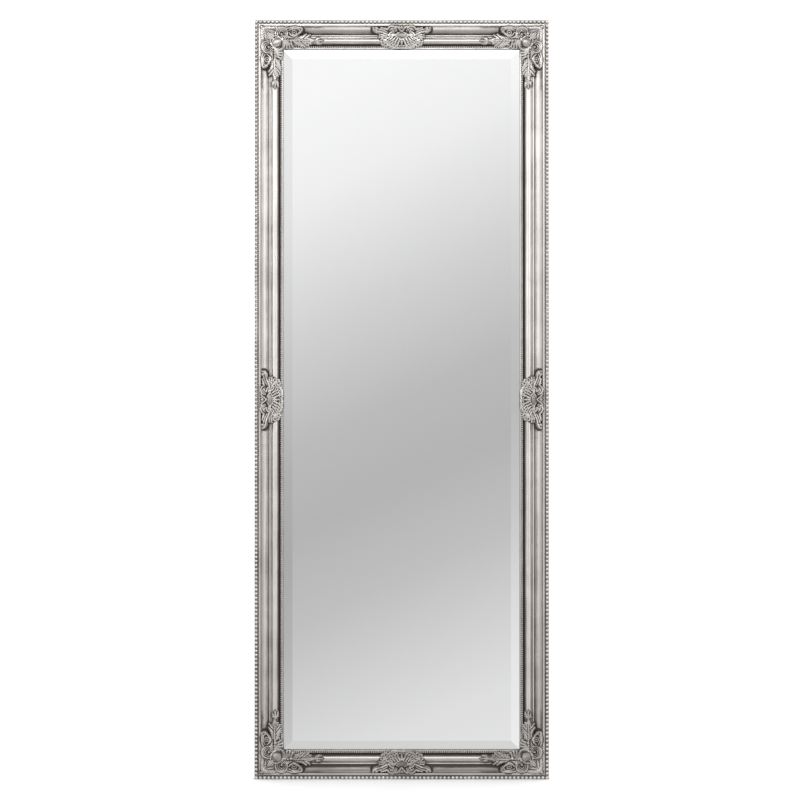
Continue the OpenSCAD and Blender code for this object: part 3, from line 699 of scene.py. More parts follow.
def soften(field, reach):
    """The field with each point averaged over its neighbours, reach in cells."""
    span = int(3 * reach) + 1
    weights = np.exp(-0.5 * (np.arange(-span, span + 1) / reach) ** 2)
    weights /= weights.sum()
    for axis in (0, 1):
        padded = np.pad(field, [(span, span) if k == axis else (0, 0) for k in (0, 1)], mode="edge")
        field = sum(
            w * np.take(padded, np.arange(i, i + field.shape[axis]), axis=axis)
            for i, w in enumerate(weights)
        )
    return field


def flowing(points, steps=5):
    """A smooth line through the points."""
    p = np.array(points, float)
    if len(p) < 3:
        return np.array([p[0] + (p[-1] - p[0]) * t for t in np.linspace(0, 1, steps + 1)])
    p = np.vstack([2 * p[0] - p[1], p, 2 * p[-1] - p[-2]])
    made = []
    for a, b, c, d in zip(p, p[1:], p[2:], p[3:]):
        square, cube = 2 * a - 5 * b + 4 * c - d, 3 * b - a - 3 * c + d
        for t in np.linspace(0, 1, steps, endpoint=False):
            made.append(0.5 * (2 * b + (c - a) * t + square * t**2 + cube * t**3))
    return np.array([*made, p[-2]])


# Shape of a stroke's back, from 0 on its middle line to 1 at its edge, as a share of its depth
STROKES = {
    "round": lambda x: np.sqrt(1 - np.minimum(x, 1) ** 2) - 1,
    "leaf": lambda x: -0.75 * x**2 - 0.55 * np.exp(-((x / 0.2) ** 2)) - 0.35 * x**6,
    "fold": lambda x: -np.abs(x),
    "cup": lambda x: 0.55 * np.minimum(x, 0.72) ** 2 - 3.4 * np.maximum(0, x - 0.72) - 0.25,
    "flat": lambda x: -0.25 * x**4,
}


class Carving:
    """Relief of an ornament as a field of heights in millimetres: strokes are laid over each
    other and the highest shows. u runs along the side and v in from the outer edge. At a corner
    the ornament lies along both sides."""

    deepest = 2.6
    vein_pitch, vein_slant, vein_lift, lobe = 3.6, 2.6, 0.42, 0.16

    def __init__(self, low_u, high_u, high_v, corner):
        self.corner = corner
        self.cell = settings().carving.cell / MM
        self.wall = settings().carving.wall
        self.us = np.arange(low_u, high_u + self.cell / 2, self.cell)
        self.vs = np.arange(0, high_v + self.cell / 2, self.cell)
        self.u, self.v = np.meshgrid(self.us, self.vs, indexing="ij")
        self.into = np.minimum(self.u, self.v) if corner else self.v
        self.level = np.interp(self.into, CARVE_S, CARVE_H)
        self.bed = moulding_level(self.into)
        self.top = np.full(self.u.shape, CARVE_NONE)
        self.dull = np.zeros(self.u.shape)

    def window(self, low, high):
        """The cells between two corners."""
        ends = []
        for line, first, last in zip((self.us, self.vs), low, high):
            begin = max(0, int((first - line[0]) / self.cell))
            ends.append(slice(begin, max(begin, int((last - line[0]) / self.cell) + 2)))
        return tuple(ends)

    def stroke(self, form, points, widths, lifts=0.0, depth=None):
        """Lays one stroke. Depth is how far its back falls from its middle to its edge."""
        line = flowing(points)
        widths, lifts = spread(widths, len(line)), spread(lifts, len(line))
        reach = widths.max() + 5
        window = self.window(line.min(0) - reach, line.max(0) + reach)
        u, v = self.u[window], self.v[window]
        if not u.size:
            return
        near, width = np.full(u.shape, 99.0), np.ones(u.shape)
        along, lift = np.zeros(u.shape), np.zeros(u.shape)
        ran = 0.0
        for k in range(len(line) - 1):
            (au, av), (bu, bv) = line[k], line[k + 1]
            span = (bu - au) ** 2 + (bv - av) ** 2 + 1e-9
            t = np.clip(((u - au) * (bu - au) + (v - av) * (bv - av)) / span, 0, 1)
            w = widths[k] + (widths[k + 1] - widths[k]) * t
            x = np.hypot(u - au - t * (bu - au), v - av - t * (bv - av)) / w
            closer = x < near
            raised = lifts[k] + (lifts[k + 1] - lifts[k]) * t
            here = (x, w, raised, ran + t * math.sqrt(span))
            near, width, lift, along = (
                np.where(closer, new, old) for new, old in zip(here, (near, width, lift, along))
            )
            ran += math.sqrt(span)
        if depth is None:
            depth = np.minimum(width * 0.9, self.deepest)
        if form == "leaf":
            # slanting veins that end in small lobes
            slant = self.vein_slant * np.minimum(near, 1.2)
            vein = np.sin(along * 2 * math.pi / self.vein_pitch - slant)
            near = near * (1 - self.lobe * vein)
            lift = lift + self.vein_lift * vein * np.clip(near * 1.6 - 0.2, 0, 1)
        shape = STROKES[form](np.minimum(near, 1)) * depth
        height = self.level[window] + lift + shape - self.wall * np.maximum(0, near - 1) * width
        self.top[window] = np.maximum(self.top[window], height)

    def leaf(self, *facts):
        self.stroke("leaf", *facts)

    def band(self, *facts):
        self.stroke("round", *facts)

    def ground(self, lift, *rows):
        """Low flat ground that joins the leaves."""
        for points, widths in rows:
            self.stroke("flat", points, widths, lift, depth=1.0)

    def boss(self, centre, half_l, half_w, turn, rim, crest, dull=0.0):
        """A smooth oval dome with its own heights, and more wash on it where it is dull."""
        reach = max(half_l, half_w) + 5
        window = self.window(np.array(centre) - reach, np.array(centre) + reach)
        du, dv = self.u[window] - centre[0], self.v[window] - centre[1]
        c, s = math.cos(math.radians(turn)), math.sin(math.radians(turn))
        r = np.hypot((du * c + dv * s) / half_l, (dv * c - du * s) / half_w)
        height = rim + (crest - rim) * np.sqrt(np.maximum(0, 1 - r**2))
        height -= self.wall * np.maximum(0, r - 1) * half_w
        self.top[window] = np.maximum(self.top[window], height)
        self.dull[window] = np.where(r < 1, dull, self.dull[window])

    def balls(self, *rows):
        """Small domes on the carving's level: centre, radius and lift of each."""
        for centre, radius, lift in rows:
            into = min(centre) if self.corner else centre[1]
            rim = float(np.interp(into, CARVE_S, CARVE_H)) + lift
            self.boss(centre, radius, radius, 0, rim, rim + radius * 0.9)

    def fan(self, centre, outer, angles, width, lift, inner=11.5):
        """Petals round a centre. A petal may be longer than the last where outer is a list."""
        for angle, reach in zip(angles, spread(outer, len(angles))):
            radii = (inner, (inner + reach) / 2, reach)
            points = [bow(centre, r, angle, angle, 1)[0] for r in radii]
            self.stroke("cup", points, [width * 0.45, width, width * 0.35], lift)

    def gouged(self, centre, count, twist, low, high):
        """Fine curving flutes cut into the ground around a centre."""
        du, dv = self.u - centre[0], self.v - centre[1]
        angle = np.arctan2(dv, du) + twist * np.hypot(du, dv)
        ground = (self.top > self.level - 6.5) & (self.top < self.level + high)
        flute = self.level + low + (high - low) * np.abs(np.sin(angle * count / 2)) ** 0.7
        self.top = np.where(ground, np.maximum(self.top, flute), self.top)

    def done(self):
        """Rounds the crests as plaster does and works out how deep each point lies."""
        self.top = np.minimum(soften(self.top, 0.9), CARVE_TOP)
        whole = np.maximum(self.top, self.bed)
        self.around = [soften(whole, reach / self.cell) for reach in (1.5, 4.5)]
        self.kept = (self.top > self.bed - 1.4) & (self.into < RAIL_W - 0.05)
        return self

    def look_up(self, field, u, v):
        """The field's values at any points, in millimetres."""
        iu = np.clip((u - self.us[0]) / self.cell, 0, len(self.us) - 1.001)
        iv = np.clip((v - self.vs[0]) / self.cell, 0, len(self.vs) - 1.001)
        i, j = iu.astype(int), iv.astype(int)
        a, b = iu - i, iv - j
        return (
            field[i, j] * (1 - a) * (1 - b) + field[i + 1, j] * a * (1 - b)
            + field[i, j + 1] * (1 - a) * b + field[i + 1, j + 1] * a * b
        )


def hollow_of(fine, broad, h):
    """How much wash stays at a height h, by how far it lies below its surroundings."""
    close, wide = np.maximum(0, fine - h) / FINE_DEPTH, np.maximum(0, broad - h) / BROAD_DEPTH
    return FLAT_WASH + close + wide


def corner_carving():
    """The corner ornament, one arm along u, then the same across the mitre."""
    c = Carving(0, 164, 164, corner=True)
    c.ground(
        -2.6,
        ([(19, 19), (30, 23), (46, 24)], [5, 8, 9]),
        ([(46, 24), (72, 24), (94, 22)], [9, 9, 5]),
        ([(46, 46), (64, 44), (86, 46), (108, 45), (120, 45)], [12, 11, 8, 7, 2.4]),
        ([(27, 27), (50, 50)], [9, 12]),
    )
    # leaves that curl along the outer edge
    c.band([(17, 16.4), (30, 15.8), (43, 16.6)], [1.2, 1.6, 1.2], 0.2)
    for i in range(4):
        x = 5.8 * i
        c.leaf([(18.5 + x, 17), (22 + x, 19.5), (24.5 + x, 18)], [1.2, 2.3, 1.0], 0.9)
    for i in range(3):
        x = 6 * i
        c.leaf([(24 + x, 22), (28 + x, 25.5), (33 + 5 * i, 24.5)], [1.4, 2.6, 1.0], 0.6 - 0.4 * i)
    # large scroll and the bands nested in it
    shell = (59, 29.5)
    c.band(bow(shell, [13.2, 12.4], 158, 378, 13), [1.3, 2.3, 2.2, 1.3], 1.5)
    c.band(bow(shell, 9.0, 165, 372, 11), [1.1, 1.6, 1.1], 0.7)
    c.band(bow(shell, 5.4, 175, 365, 9), [1.0, 1.4, 1.0], 0.4)
    for k in range(5):
        x = 3.7 * k
        fold = [(57.5 + x, 33 + 0.2 * k), (63.5 + x, 41.5 - 0.7 * k)]
        c.stroke("fold", fold, [1.2, 1.5], 1.2, 1.6)
    # leafed scroll that ends in the volute
    outer = [(72, 19.6), (79, 16.9), (87, 16.2), (95, 16.8), (102, 19.2)]
    inner = [(75, 23.2), (81, 20.6), (88, 19.6), (95, 20.6), (101, 23.0)]
    below = [(75, 27.5), (79.5, 32.5), (85.5, 35.2), (91, 32.6), (96, 28.4), (102, 24.6)]
    c.band(outer, [1.2, 1.9, 1.9, 1.3], 1.3)
    c.band(inner, [1.2, 1.5, 1.6, 1.1], 0.9)
    c.band(below, [1.3, 2.1, 2.1, 1.5, 1.3], 1.6)
    c.band(bow((86.5, 27.6), 4.6, 20, 380, 13), 1.2, 0.9)
    c.band(bow((99.0, 21.4), [4.4, 3.0], 200, 500, 13), [1.6, 1.3], 1.5)
    c.leaf([(69, 36), (76, 38.5), (84, 39.0), (91, 37.0)], [1.4, 2.6, 2.4, 1.0], 0.4)
    # palmette that opens over the small beads
    tips = [(58.0, 55.0), (63.5, 57.6), (69.5, 59.0), (76.0, 58.6), (82.0, 56.0)]
    for i, tip in enumerate(tips):
        root = (67.5 + 2.9 * i, 45.0 - 0.3 * abs(i - 2))
        bend = (0.5 * (root[0] + tip[0]) - 0.8, 0.55 * root[1] + 0.45 * tip[1] + 0.8)
        c.stroke("cup", [root, bend, tip], [1.2, 2.5, 1.9], 2.6)
    # acanthus leaf on the torus
    for i, rise in enumerate([8.5, 11.2, 12.2, 10.0, 6.4]):
        x = 82.5 + 6.6 * i
        points = [(x, 44.6), (x + 6.5, 44.5 + rise * 0.55), (x + 13.5, 44.4 + rise)]
        c.leaf(points, [1.3, 2.8, 1.0], [1.4, 1.9, 0.9])
    for i, drop in enumerate([6.0, 8.6, 12.4, 10.4]):
        x = 84.5 + 7.0 * i
        points = [(x, 43.8), (x + 7, 43.6 - drop * 0.5), (x + 13.5, 43.8 - drop)]
        c.leaf(points, [1.3, 2.7, 1.0], [1.4, 1.8, 0.9])
    c.band([(81, 44.6), (92, 43.4), (106, 44.0), (120, 45.0)], [1.2, 1.7, 1.5, 1.2], 3.0)
    c.leaf([(109, 46.5), (117, 48.6), (125, 47.2)], [1.4, 2.2, 0.8], 1.6)
    c.leaf([(109, 43.0), (117, 41.2), (125, 42.8)], [1.4, 2.2, 0.8], 1.6)
    # stem and bud at the arm's end
    c.band([(118, 45), (126, 45.6), (133, 45)], [2.0, 1.5, 1.3], 1.8)
    c.band([(120, 42.6), (126, 43.2), (132, 44.2)], [1.2, 1.2, 1.0], 1.2)
    c.leaf([(131, 45.4), (137, 49), (143, 50.2)], [1.2, 2.3, 1.0], 2.0)
    c.leaf([(131, 45), (139, 45.4), (147, 45)], [1.2, 2.3, 1.0], 2.0)
    c.leaf([(131, 44.4), (137, 41.4), (142.5, 40.2)], [1.2, 2.3, 1.0], 2.0)
    # berries in the scroll, in the volute, under the palmette and at the bud
    c.balls(
        ((46.2, 34.8), 2.7, 1.4), ((59, 31.0), 2.6, 1.2), ((86.5, 27.6), 2.2, 1.3),
        ((98.4, 21.8), 1.6, 1.8), ((79.0, 45.0), 2.9, 2.6), ((73.0, 43.8), 2.1, 2.2),
        ((67.0, 43.6), 1.8, 1.6), ((132.6, 44.8), 2.0, 2.0),
    )
    # collar and leaves round the cabochon, leaves towards the outer corner
    c.leaf([(43, 36), (36, 29), (29, 24.5), (22, 20.5)], [2.0, 3.4, 3.0, 1.4], 1.2)
    c.leaf([(52, 36), (45, 29.5), (38, 25.5), (31, 22.5)], [1.6, 2.8, 2.6, 1.2], 0.8)
    c.band([(58, 40), (54, 36.5), (48, 35), (42, 35.8)], [1.2, 1.7, 1.7, 1.2], 1.6)
    middle = (49, 49)
    c.fan(middle, [17.5, 19.0, 18.0, 16.0], [62, 84, 106, 124], 2.5, 2.3)
    # the other arm is the same across the mitre
    c.top = np.maximum(c.top, c.top.T)
    c.leaf([(43, 43), (33, 33), (21, 21)], [2.4, 4.4, 1.6], 1.8)
    c.band(bow((48, 48), 13.2, -10, 100), 1.2, 1.2)
    c.fan(middle, 18.5, [45], 2.6, 2.6)
    c.balls(((15.8, 15.8), 2.8, 0.2))
    c.gouged(middle, 62, 0.02, -2.6, -0.6)
    c.band(oval(middle, 12.2, 9.6, -0.785), 1.1, 2.0)
    c.boss(middle, 11.0, 8.5, -45, 28.6, 33.9, dull=0.12)
    return c.done()


def centre_carving():
    """The ornament at the middle of a side: one half towards u, and the same mirrored."""
    c = Carving(-78, 78, 78, corner=False)
    c.ground(
        -2.4,
        ([(-2, 24), (16, 23), (30, 26)], [8, 8, 6]),
        ([(-2, 38), (20, 38), (36, 40)], [12, 12, 8]),
        ([(-2, 48), (14, 48), (36, 46)], [10, 9, 9]),
    )
    # crest in the middle of the outer edge
    c.band([(0.0, 26.4), (4.2, 21.4), (8.6, 16.4), (12.0, 14.4)], [1.7, 1.7, 1.5, 1.1], 2.6)
    c.stroke("fold", [(0.0, 20.8), (3.2, 17.6), (5.6, 14.6)], [0.9, 1.1, 0.8], 1.0, 1.2)
    # arched scrolls on both sides of it
    outer = [(10.5, 24.5), (12.5, 18.5), (17, 14.8), (22.5, 14.2), (27.5, 17), (30.5, 21.5)]
    inner = [(13.5, 25), (15.5, 20.5), (19.5, 18.4), (23.5, 20.2), (26, 23.5)]
    c.band(outer, [1.1, 1.7, 2.0, 1.9, 1.5, 1.2], 1.4)
    c.band(inner, [1.0, 1.4, 1.5, 1.3, 1.0], 0.8)
    c.leaf([(17.0, 26.0), (19.4, 22.4), (23.0, 21.6)], [1.2, 2.2, 0.9], 1.0)
    # arms that end in a hook
    arm = [(27, 33), (33, 30.6), (40, 27.6), (48, 25.4), (55, 24.4), (60, 21.8), (61.4, 17.2)]
    c.band(arm, [1.6, 2.2, 2.2, 2.0, 2.1, 1.7, 1.2], [1.2, 1.6, 2.2, 2.2, 1.2])
    c.band([(31, 27.5), (37, 24.4), (44, 21.8), (50, 21.0)], [1.2, 1.6, 1.4, 1.0], 1.0)
    c.band(bow((55.6, 19.4), [3.0, 2.2], 30, 300), [1.4, 1.1], 1.6)
    c.leaf([(30, 22), (36, 20), (43, 17.8)], [1.3, 2.2, 1.0], 0.4)
    # leaves under the arms
    for i, tip in enumerate([(47, 32), (48, 37.5), (45, 42.5)]):
        c.leaf([(27 + i, 34 + 2.5 * i), (38 + i, 32.5 + 4 * i), tip], [1.4, 2.7, 1.1], 0.9)
    # cartouche: two rows of slanting leaves that hang from a smooth oval
    for k in range(5):
        odd = k % 2
        root, tip = (3.2 + 5.4 * k, 40.4 - 1.0 * k), (9.0 + 6.2 * k, 49.6 - 2.2 * k)
        bend = (5.2 + 6.0 * k, 45.0 - 1.4 * k)
        c.leaf([root, bend, tip], [1.5, 2.6 - 0.3 * odd, 0.9], 2.9 - 0.5 * odd)
    for k in range(4):
        root, tip = (6.4 + 5.6 * k, 48.6 - 1.2 * k), (14.2 + 6.2 * k, 56.6 - 2.2 * k)
        bend = (9.4 + 6.0 * k, 53.4 - 1.6 * k)
        c.leaf([root, bend, tip], [1.3, 2.4, 0.9], 2.1 - 0.3 * (k % 2))
    c.leaf([(16.5, 27.0), (21.5, 26.6), (26.0, 29.6), (28.6, 34.6)], [1.2, 2.3, 2.2, 0.9], 1.8)
    c.leaf([(14.4, 31.4), (20.0, 31.2), (26.0, 34.0)], [1.2, 2.3, 0.9], 2.0)
    c.leaf([(13.6, 34.6), (19.4, 34.4), (25.6, 37.4)], [1.2, 2.0, 0.9], 2.3)
    c.leaf([(0, 41.6), (0, 47.6), (0, 54.2)], [1.7, 2.7, 1.0], 2.8)
    # small flower and leaves on the torus
    rose = (35.6, 46.4)
    c.fan(rose, 6.4, [8, 68, 128, 188, 248, 308], 2.4, 2.4, inner=1.5)
    c.leaf([(27, 41.5), (31, 38.2), (38, 37.6)], [1.2, 2.2, 0.9], 1.6)
    c.leaf([(26, 47.5), (29, 52.5), (35, 55.4)], [1.4, 2.6, 1.0], 1.4)
    c.leaf([(37, 53.6), (42, 51.6), (45, 47.0)], [1.2, 2.2, 0.9], 0.8)
    # balls in the hook, in the flower and under the cartouche
    c.balls(
        ((55.2, 19.4), 1.7, 1.4), (rose, 1.9, 2.6), ((4.6, 55.4), 1.3, 1.4), ((9.4, 57.0), 1.3, 1.4)
    )
    # leaves that lie along the edge over the small beads
    edge = [(0.5, 57.8), (8, 58.6), (15.5, 57.6), (22.5, 55.4), (29, 52.2)]
    for a, b in zip(edge[:-1], edge[1:]):
        x, y = 0.5 * (a[0] + b[0]), 0.5 * (a[1] + b[1]) + 1.6
        c.leaf([a, (x, y), (b[0] + 2.2, b[1] - 0.4)], [1.3, 2.5, 0.8], 1.7)
        below = [(a[0] + 1, a[1] - 2.6), (x, y - 4.6), (b[0] - 1, b[1] - 4.2)]
        c.leaf(below, [1.0, 1.8, 0.8], 1.2)
    c.top = np.maximum(c.top, c.top[::-1])
    c.gouged((0, 30), 36, 0.10, -2.4, -0.8)
    middle = (0, 33.4)
    c.band(oval(middle, 13.0, 6.6), 1.15, 1.6)
    c.balls(((0, 16.2), 2.4, 0.4))
    c.boss(middle, 11.9, 5.6, 0, 27.8, 30.2, dull=0.24)
    return c.done()


@cache
def carving(kind):
    """Each ornament is drawn once, for its own piece and for the wash round it."""
    return {"corner": corner_carving, "centre": centre_carving}[kind]()


def carved_piece(c, name):
    """Raises a grid to a carving's heights, trims what lies under the moulding, and closes it."""
    cells_u, cells_v = len(c.us) - 1, len(c.vs) - 1
    piece = start(
        bpy.ops.mesh.primitive_grid_add, name,
        x_subdivisions=cells_u, y_subdivisions=cells_v, size=1,
    )
    co = points_of(piece)
    across, into = co[:, 0] + 0.5, co[:, 1] + 0.5
    i, j = np.rint(across * cells_u).astype(int), np.rint(into * cells_v).astype(int)
    co[:, 0] = (c.us[0] + across * (c.us[-1] - c.us[0])) * MM
    co[:, 1] = into * c.vs[-1] * MM
    co[:, 2] = c.top[i, j] * MM
    set_points(piece, co)
    fine, broad = c.around
    wash = hollow_of(fine[i, j], broad[i, j], c.top[i, j])
    store(piece, "hollow", CARVING_WASH + wash + c.dull[i, j])
    corners = read(piece.data.loops, "vertex_index").reshape(-1, 4)
    choose(piece, "polygons", ~c.kept[i, j][corners].any(axis=1))
    with shaping(piece):
        bpy.ops.mesh.delete(type="FACE")
    drop_specks(piece)
    with shaping(piece, everything=True):
        pull()
    co = points_of(piece)
    co[~read(piece.data.vertices, "select", kind=bool), 2] = CARVE_FLOOR * MM
    set_points(piece, co)
    choose_faces(piece, lambda centre, normal: abs(centre.z - CARVE_FLOOR * MM) < 1e-6)
    with shaping(piece):
        bpy.ops.mesh.dissolve_limited(angle_limit=0.01)
    outward(piece)
    smooth(piece, 62)
    return piece


def drop_specks(piece):
    """Deletes loose islands, keeping the largest."""
    a, b = read(piece.data.edges, "vertices", 2).T
    label = np.arange(len(piece.data.vertices))
    while True:
        low = np.minimum(label[a], label[b])
        new = label.copy()
        np.minimum.at(new, a, low)
        np.minimum.at(new, b, low)
        new = new[new]
        if (new == label).all():
            break
        label = new
    values, counts = np.unique(label, return_counts=True)
    loose = label != values[counts.argmax()]
    if loose.any():
        choose(piece, "vertices", loose)
        with shaping(piece, "VERT"):
            bpy.ops.mesh.delete(type="VERT")


# ---- moulding and beads


def moulding_cuts(half, step):
    """Places along a member for its cuts: close together beside the ornaments."""
    corner, centre = 158 * MM, 72 * MM
    first = np.arange(-half - step, -half + corner, step)
    middle = np.arange(-centre, centre + step / 2, step)
    return np.concatenate([first, middle, -first[::-1]])


def moulding_wash(x, s, h, half, foot):
    """Wash on a member by its section, and round the ornaments that lie on it."""
    hollow, beside = np.zeros(len(x)), np.zeros(len(x))
    for kind, along in (("corner", half / MM - np.abs(x)), ("centre", np.abs(x))):
        c = carving(kind)
        bare = c.us[-1] - 6  # beyond the ornament's end, still on its field
        near, plain = (
            hollow_of(*(c.look_up(field, at, s) for field in c.around), h)
            for at in (np.minimum(along, bare), np.full(len(x), bare))
        )
        hollow, beside = np.maximum(hollow, near), np.maximum(beside, near - plain)
    cove = (s > COVE_S[0]) & (s < COVE_S[1]) & (h > COVE_LOW)
    # the cove's wash: patina, with painted shade where the share is larger on the level members
    grown = foot * np.clip((s - COVE_TOP) / COVE_RUN, 0, 1) ** COVE_CURVE
    hollow = np.where(cove, grown + beside, hollow)
    for from_s, to_s, from_h, to_h, least, most in COURSES:
        course = (s > from_s) & (s < to_s) & (h > from_h) & (h < to_h)
        hollow = np.where(course, np.clip(hollow, least, most), hollow)
    flank = np.clip((s - FLANK_S) / FLANK_RUN, 0, 1) * (h > GROOVE_H + 0.5) * (s < FLANK_END)
    return np.maximum(hollow, FLANK_WASH * flank)


def moulding_piece(side, name):
    """One member: the section drawn at one end, pulled along in steps and cut at 45 degrees."""
    half = side_length(side) / 2
    setting = settings().moulding
    outline = np.array(moulding_outline(setting.easing / MM)) * MM
    cuts = moulding_cuts(half, setting.step)
    piece = start(
        bpy.ops.mesh.primitive_circle_add, name,
        vertices=len(outline), radius=0.05, fill_type="NGON",
    )
    co = points_of(piece)
    order = np.argsort(np.arctan2(co[:, 1], co[:, 0]) % (2 * math.pi), kind="stable")
    co[order, 0] = cuts[0]
    co[order, 1:] = outline
    set_points(piece, co)
    with shaping(piece, everything=True):
        for here, ahead in zip(cuts[:-1], cuts[1:]):
            pull(x=ahead - here)
        for way in (-1, 1):
            bpy.ops.mesh.select_all(action="SELECT")
            bpy.ops.mesh.bisect(
                plane_co=(way * half, 0, 0), plane_no=(way, 1, 0), use_fill=True, clear_outer=True
            )
    outward(piece)
    smooth(piece, 38)
    x, s, h = (points_of(piece) / MM).T
    # the cove's share is patina, with painted shade added on the level members
    store(piece, "hollow", moulding_wash(x, s, h, half, COVE_WASH_AND_SHADE[side % 2]))
    return piece


def bead_string(name, count, pitch, radius, thread, segments):
    """A string of beads along x with a thread through them, each bead flattened where it beds."""
    span = (count - 1) * pitch
    bead = start(
        bpy.ops.mesh.primitive_uv_sphere_add, name, segments=segments,
        ring_count=segments // 2 + 1, radius=radius, location=(-span / 2, 0, 0),
    )
    co = points_of(bead)
    bed = -0.3 * radius
    low = co[:, 2] < bed
    co[low, 2] = bed + (co[low, 2] - bed) * 0.75
    set_points(bead, co)
    store(bead, "hollow", 0.30 - 0.46 * co[:, 2] / radius)
    apply_modifier(
        bead, "ARRAY", count=count, use_relative_offset=False,
        use_constant_offset=True, constant_offset_displace=(pitch, 0, 0),
    )
    cord = start(
        bpy.ops.mesh.primitive_cylinder_add, name + "_thread", vertices=8, radius=thread,
        depth=span, rotation=(0, math.pi / 2, 0), end_fill_type="TRIFAN",
    )
    store(cord, "hollow", np.full(len(cord.data.vertices), 0.3))
    piece = join([bead, cord], name)
    pick(piece)
    bpy.ops.object.shade_smooth()
    return piece


def lay_beads(name, round_, pitch, thread, segments, node):
    """Strings of beads on all four sides. The level sides hold the beads in the corners."""
    s, h, radius = round_
    for pair in ((0, 2), (1, 3)):
        run = side_length(pair[0]) / MM - 2 * s
        steps = round(run / pitch)
        count = steps + (1 if pair[0] == 0 else -1)
        string = bead_string(name, count, run / steps * MM, radius * MM, thread, segments)
        copy_round(
            string, pair, lambda side: side_place(side, 0, s * MM, h * MM), SIDES,
            name + "_", node + "_", "leaf_beads",
        )


# ---- hardware


def screw(name, sizes):
    """A cross-headed wood screw that points into +z, its head behind the face at z = 0."""
    shank_r, run, head_r, head_t, under = (size * MM for size in sizes)
    piece = start(
        bpy.ops.mesh.primitive_cylinder_add, name,
        vertices=28, radius=head_r, depth=head_t, location=(0, 0, -under - head_t / 2),
    )
    choose_faces(piece, lambda centre, normal: normal.z < -0.9)
    with shaping(piece):
        for shrink, drop in ((0.10, 0.0), (0.22, 0.22), (0.30, 0.12)):
            bpy.ops.mesh.inset(thickness=head_r * shrink, depth=head_t * drop)
    # the head is domed
    co = points_of(piece)
    out, z = np.hypot(co[:, 0], co[:, 1]), co[:, 2]
    rim = (out > head_r * 0.95) & (z < -under - head_t * 0.9)
    ring = (np.abs(out - head_r * 0.9) < head_r * 0.04) & (z < -under)
    z[rim] = -under - head_t * 0.35
    z[ring] = -under - head_t * 0.62
    co[:, 2] = np.maximum(z, -under - head_t)
    set_points(piece, co)
    # the shank ends in a point
    choose_faces(piece, lambda centre, normal: normal.z > 0.9)
    with shaping(piece):
        bpy.ops.mesh.inset(thickness=head_r - shank_r)
        pull(z=under + run - 2 * shank_r)
        pull(z=1.9 * shank_r)
        bpy.ops.transform.resize(value=(0.08, 0.08, 1))
    outward(piece)
    for turn in (0, math.pi / 2):
        cutter = start(
            bpy.ops.mesh.primitive_cube_add, name + "_cutter", size=1,
            location=(0, 0, -under - head_t * 0.95), rotation=(0, 0, turn + 0.4),
            scale=(head_r * 1.15, head_r * 0.26, head_t * 0.9),
        )
        apply_modifier(piece, "BOOLEAN", object=cutter, operation="DIFFERENCE", solver="EXACT")
        discard(cutter)
    smooth(piece, 35)
    return piece


# ---- operators


class Maker:
    """What every operator here shares."""

    bl_options = {"REGISTER", "UNDO"}


class MIRROR_OT_moulding(Maker, bpy.types.Operator):
    """Draws the four mitred members of the moulding in silver leaf"""

    bl_idname = "leafed_mirror.moulding"
    bl_label = "Moulding"

    def execute(self, context):
        for pair in ((0, 2), (1, 3)):
            member = moulding_piece(pair[0], "member")
            for side in pair:
                piece = placed_copy(member, "moulding_" + SIDES[side], side_place(side))
                finish = ("leaf_level", "leaf_upright")[side % 2]
                finish_piece(piece, finish, MEMBERS[side])
            discard(member)
        return {"FINISHED"}


class MIRROR_OT_beads(Maker, bpy.types.Operator):
    """Strings the large beads on the outer edge and the small ones at the sight edge"""

    bl_idname = "leafed_mirror.beads"
    bl_label = "Beads"

    def execute(self, context):
        beads = settings().beads
        thread, segments = beads.thread, beads.segments
        lay_beads("large_beads", PEARL, PEARL_PITCH, thread, segments, "outer_pearls")
        lay_beads("small_beads", SEED, SEED_PITCH, thread * 0.6, segments - 2, "inner_pearls")
        return {"FINISHED"}


class MIRROR_OT_corner_carvings(Maker, bpy.types.Operator):
    """Carves the corner ornament and copies it to the four corners"""

    bl_idname = "leafed_mirror.corner_carvings"
    bl_label = "Corner carvings"

    def execute(self, context):
        model = carved_piece(carving("corner"), "corner_model")
        copy_round(
            model, range(4), corner_place, CORNERS,
            "carved_corner_", "corner_ornament_", "leaf_carving",
        )
        return {"FINISHED"}


class MIRROR_OT_centre_carvings(Maker, bpy.types.Operator):
    """Carves the ornament at the middle of a side and copies it to the four sides"""

    bl_idname = "leafed_mirror.centre_carvings"
    bl_label = "Centre carvings"

    def execute(self, context):
        model = carved_piece(carving("centre"), "centre_model")
        copy_round(
            model, range(4), side_place, SIDES,
            "carved_centre_", "centre_ornament_", "leaf_carving",
        )
        return {"FINISHED"}


class MIRROR_OT_glass(Maker, bpy.types.Operator):
    """Silvers the bevelled glass"""

    bl_idname = "leafed_mirror.glass"
    bl_label = "Glass"

    def execute(self, context):
        dress("mirror_glass", "glass")
        return {"FINISHED"}


class MIRROR_OT_backing(Maker, bpy.types.Operator):
    """Finishes the interleaf and the backing board, and drives the V-nails into the mitres"""

    bl_idname = "leafed_mirror.backing"
    bl_label = "Backing"

    def execute(self, context):
        dress("interleaf_sheet", "paper")
        dress("backing_board", "board")
        leg, thick, depth, proud = 8.8 * MM, 0.8 * MM, 10 * MM, 0.12 * MM
        nail = start(
            bpy.ops.mesh.primitive_cube_add, "v_nail", size=1, scale=(leg, thick, depth),
            location=(thick - leg / 2, thick / 2, depth / 2 - proud),
        )
        with shaping(nail, everything=True):
            bpy.ops.mesh.bisect(plane_co=(0, 0, 0), plane_no=(1, 0, 0))
        choose_faces(nail, lambda centre, normal: normal.y < -0.9 and centre.x > 0)
        with shaping(nail):
            pull(y=thick - leg)
        outward(nail)
        apply_modifier(nail, "BEVEL", width=0.08 * MM, segments=1)
        places = [
            corner_place(side, REBATE_S * part * MM) for side in range(4) for part in (0.36, 0.75)
        ]
        scatter(nail, places, "v_nails", "corner_nails", "nail")
        return {"FINISHED"}


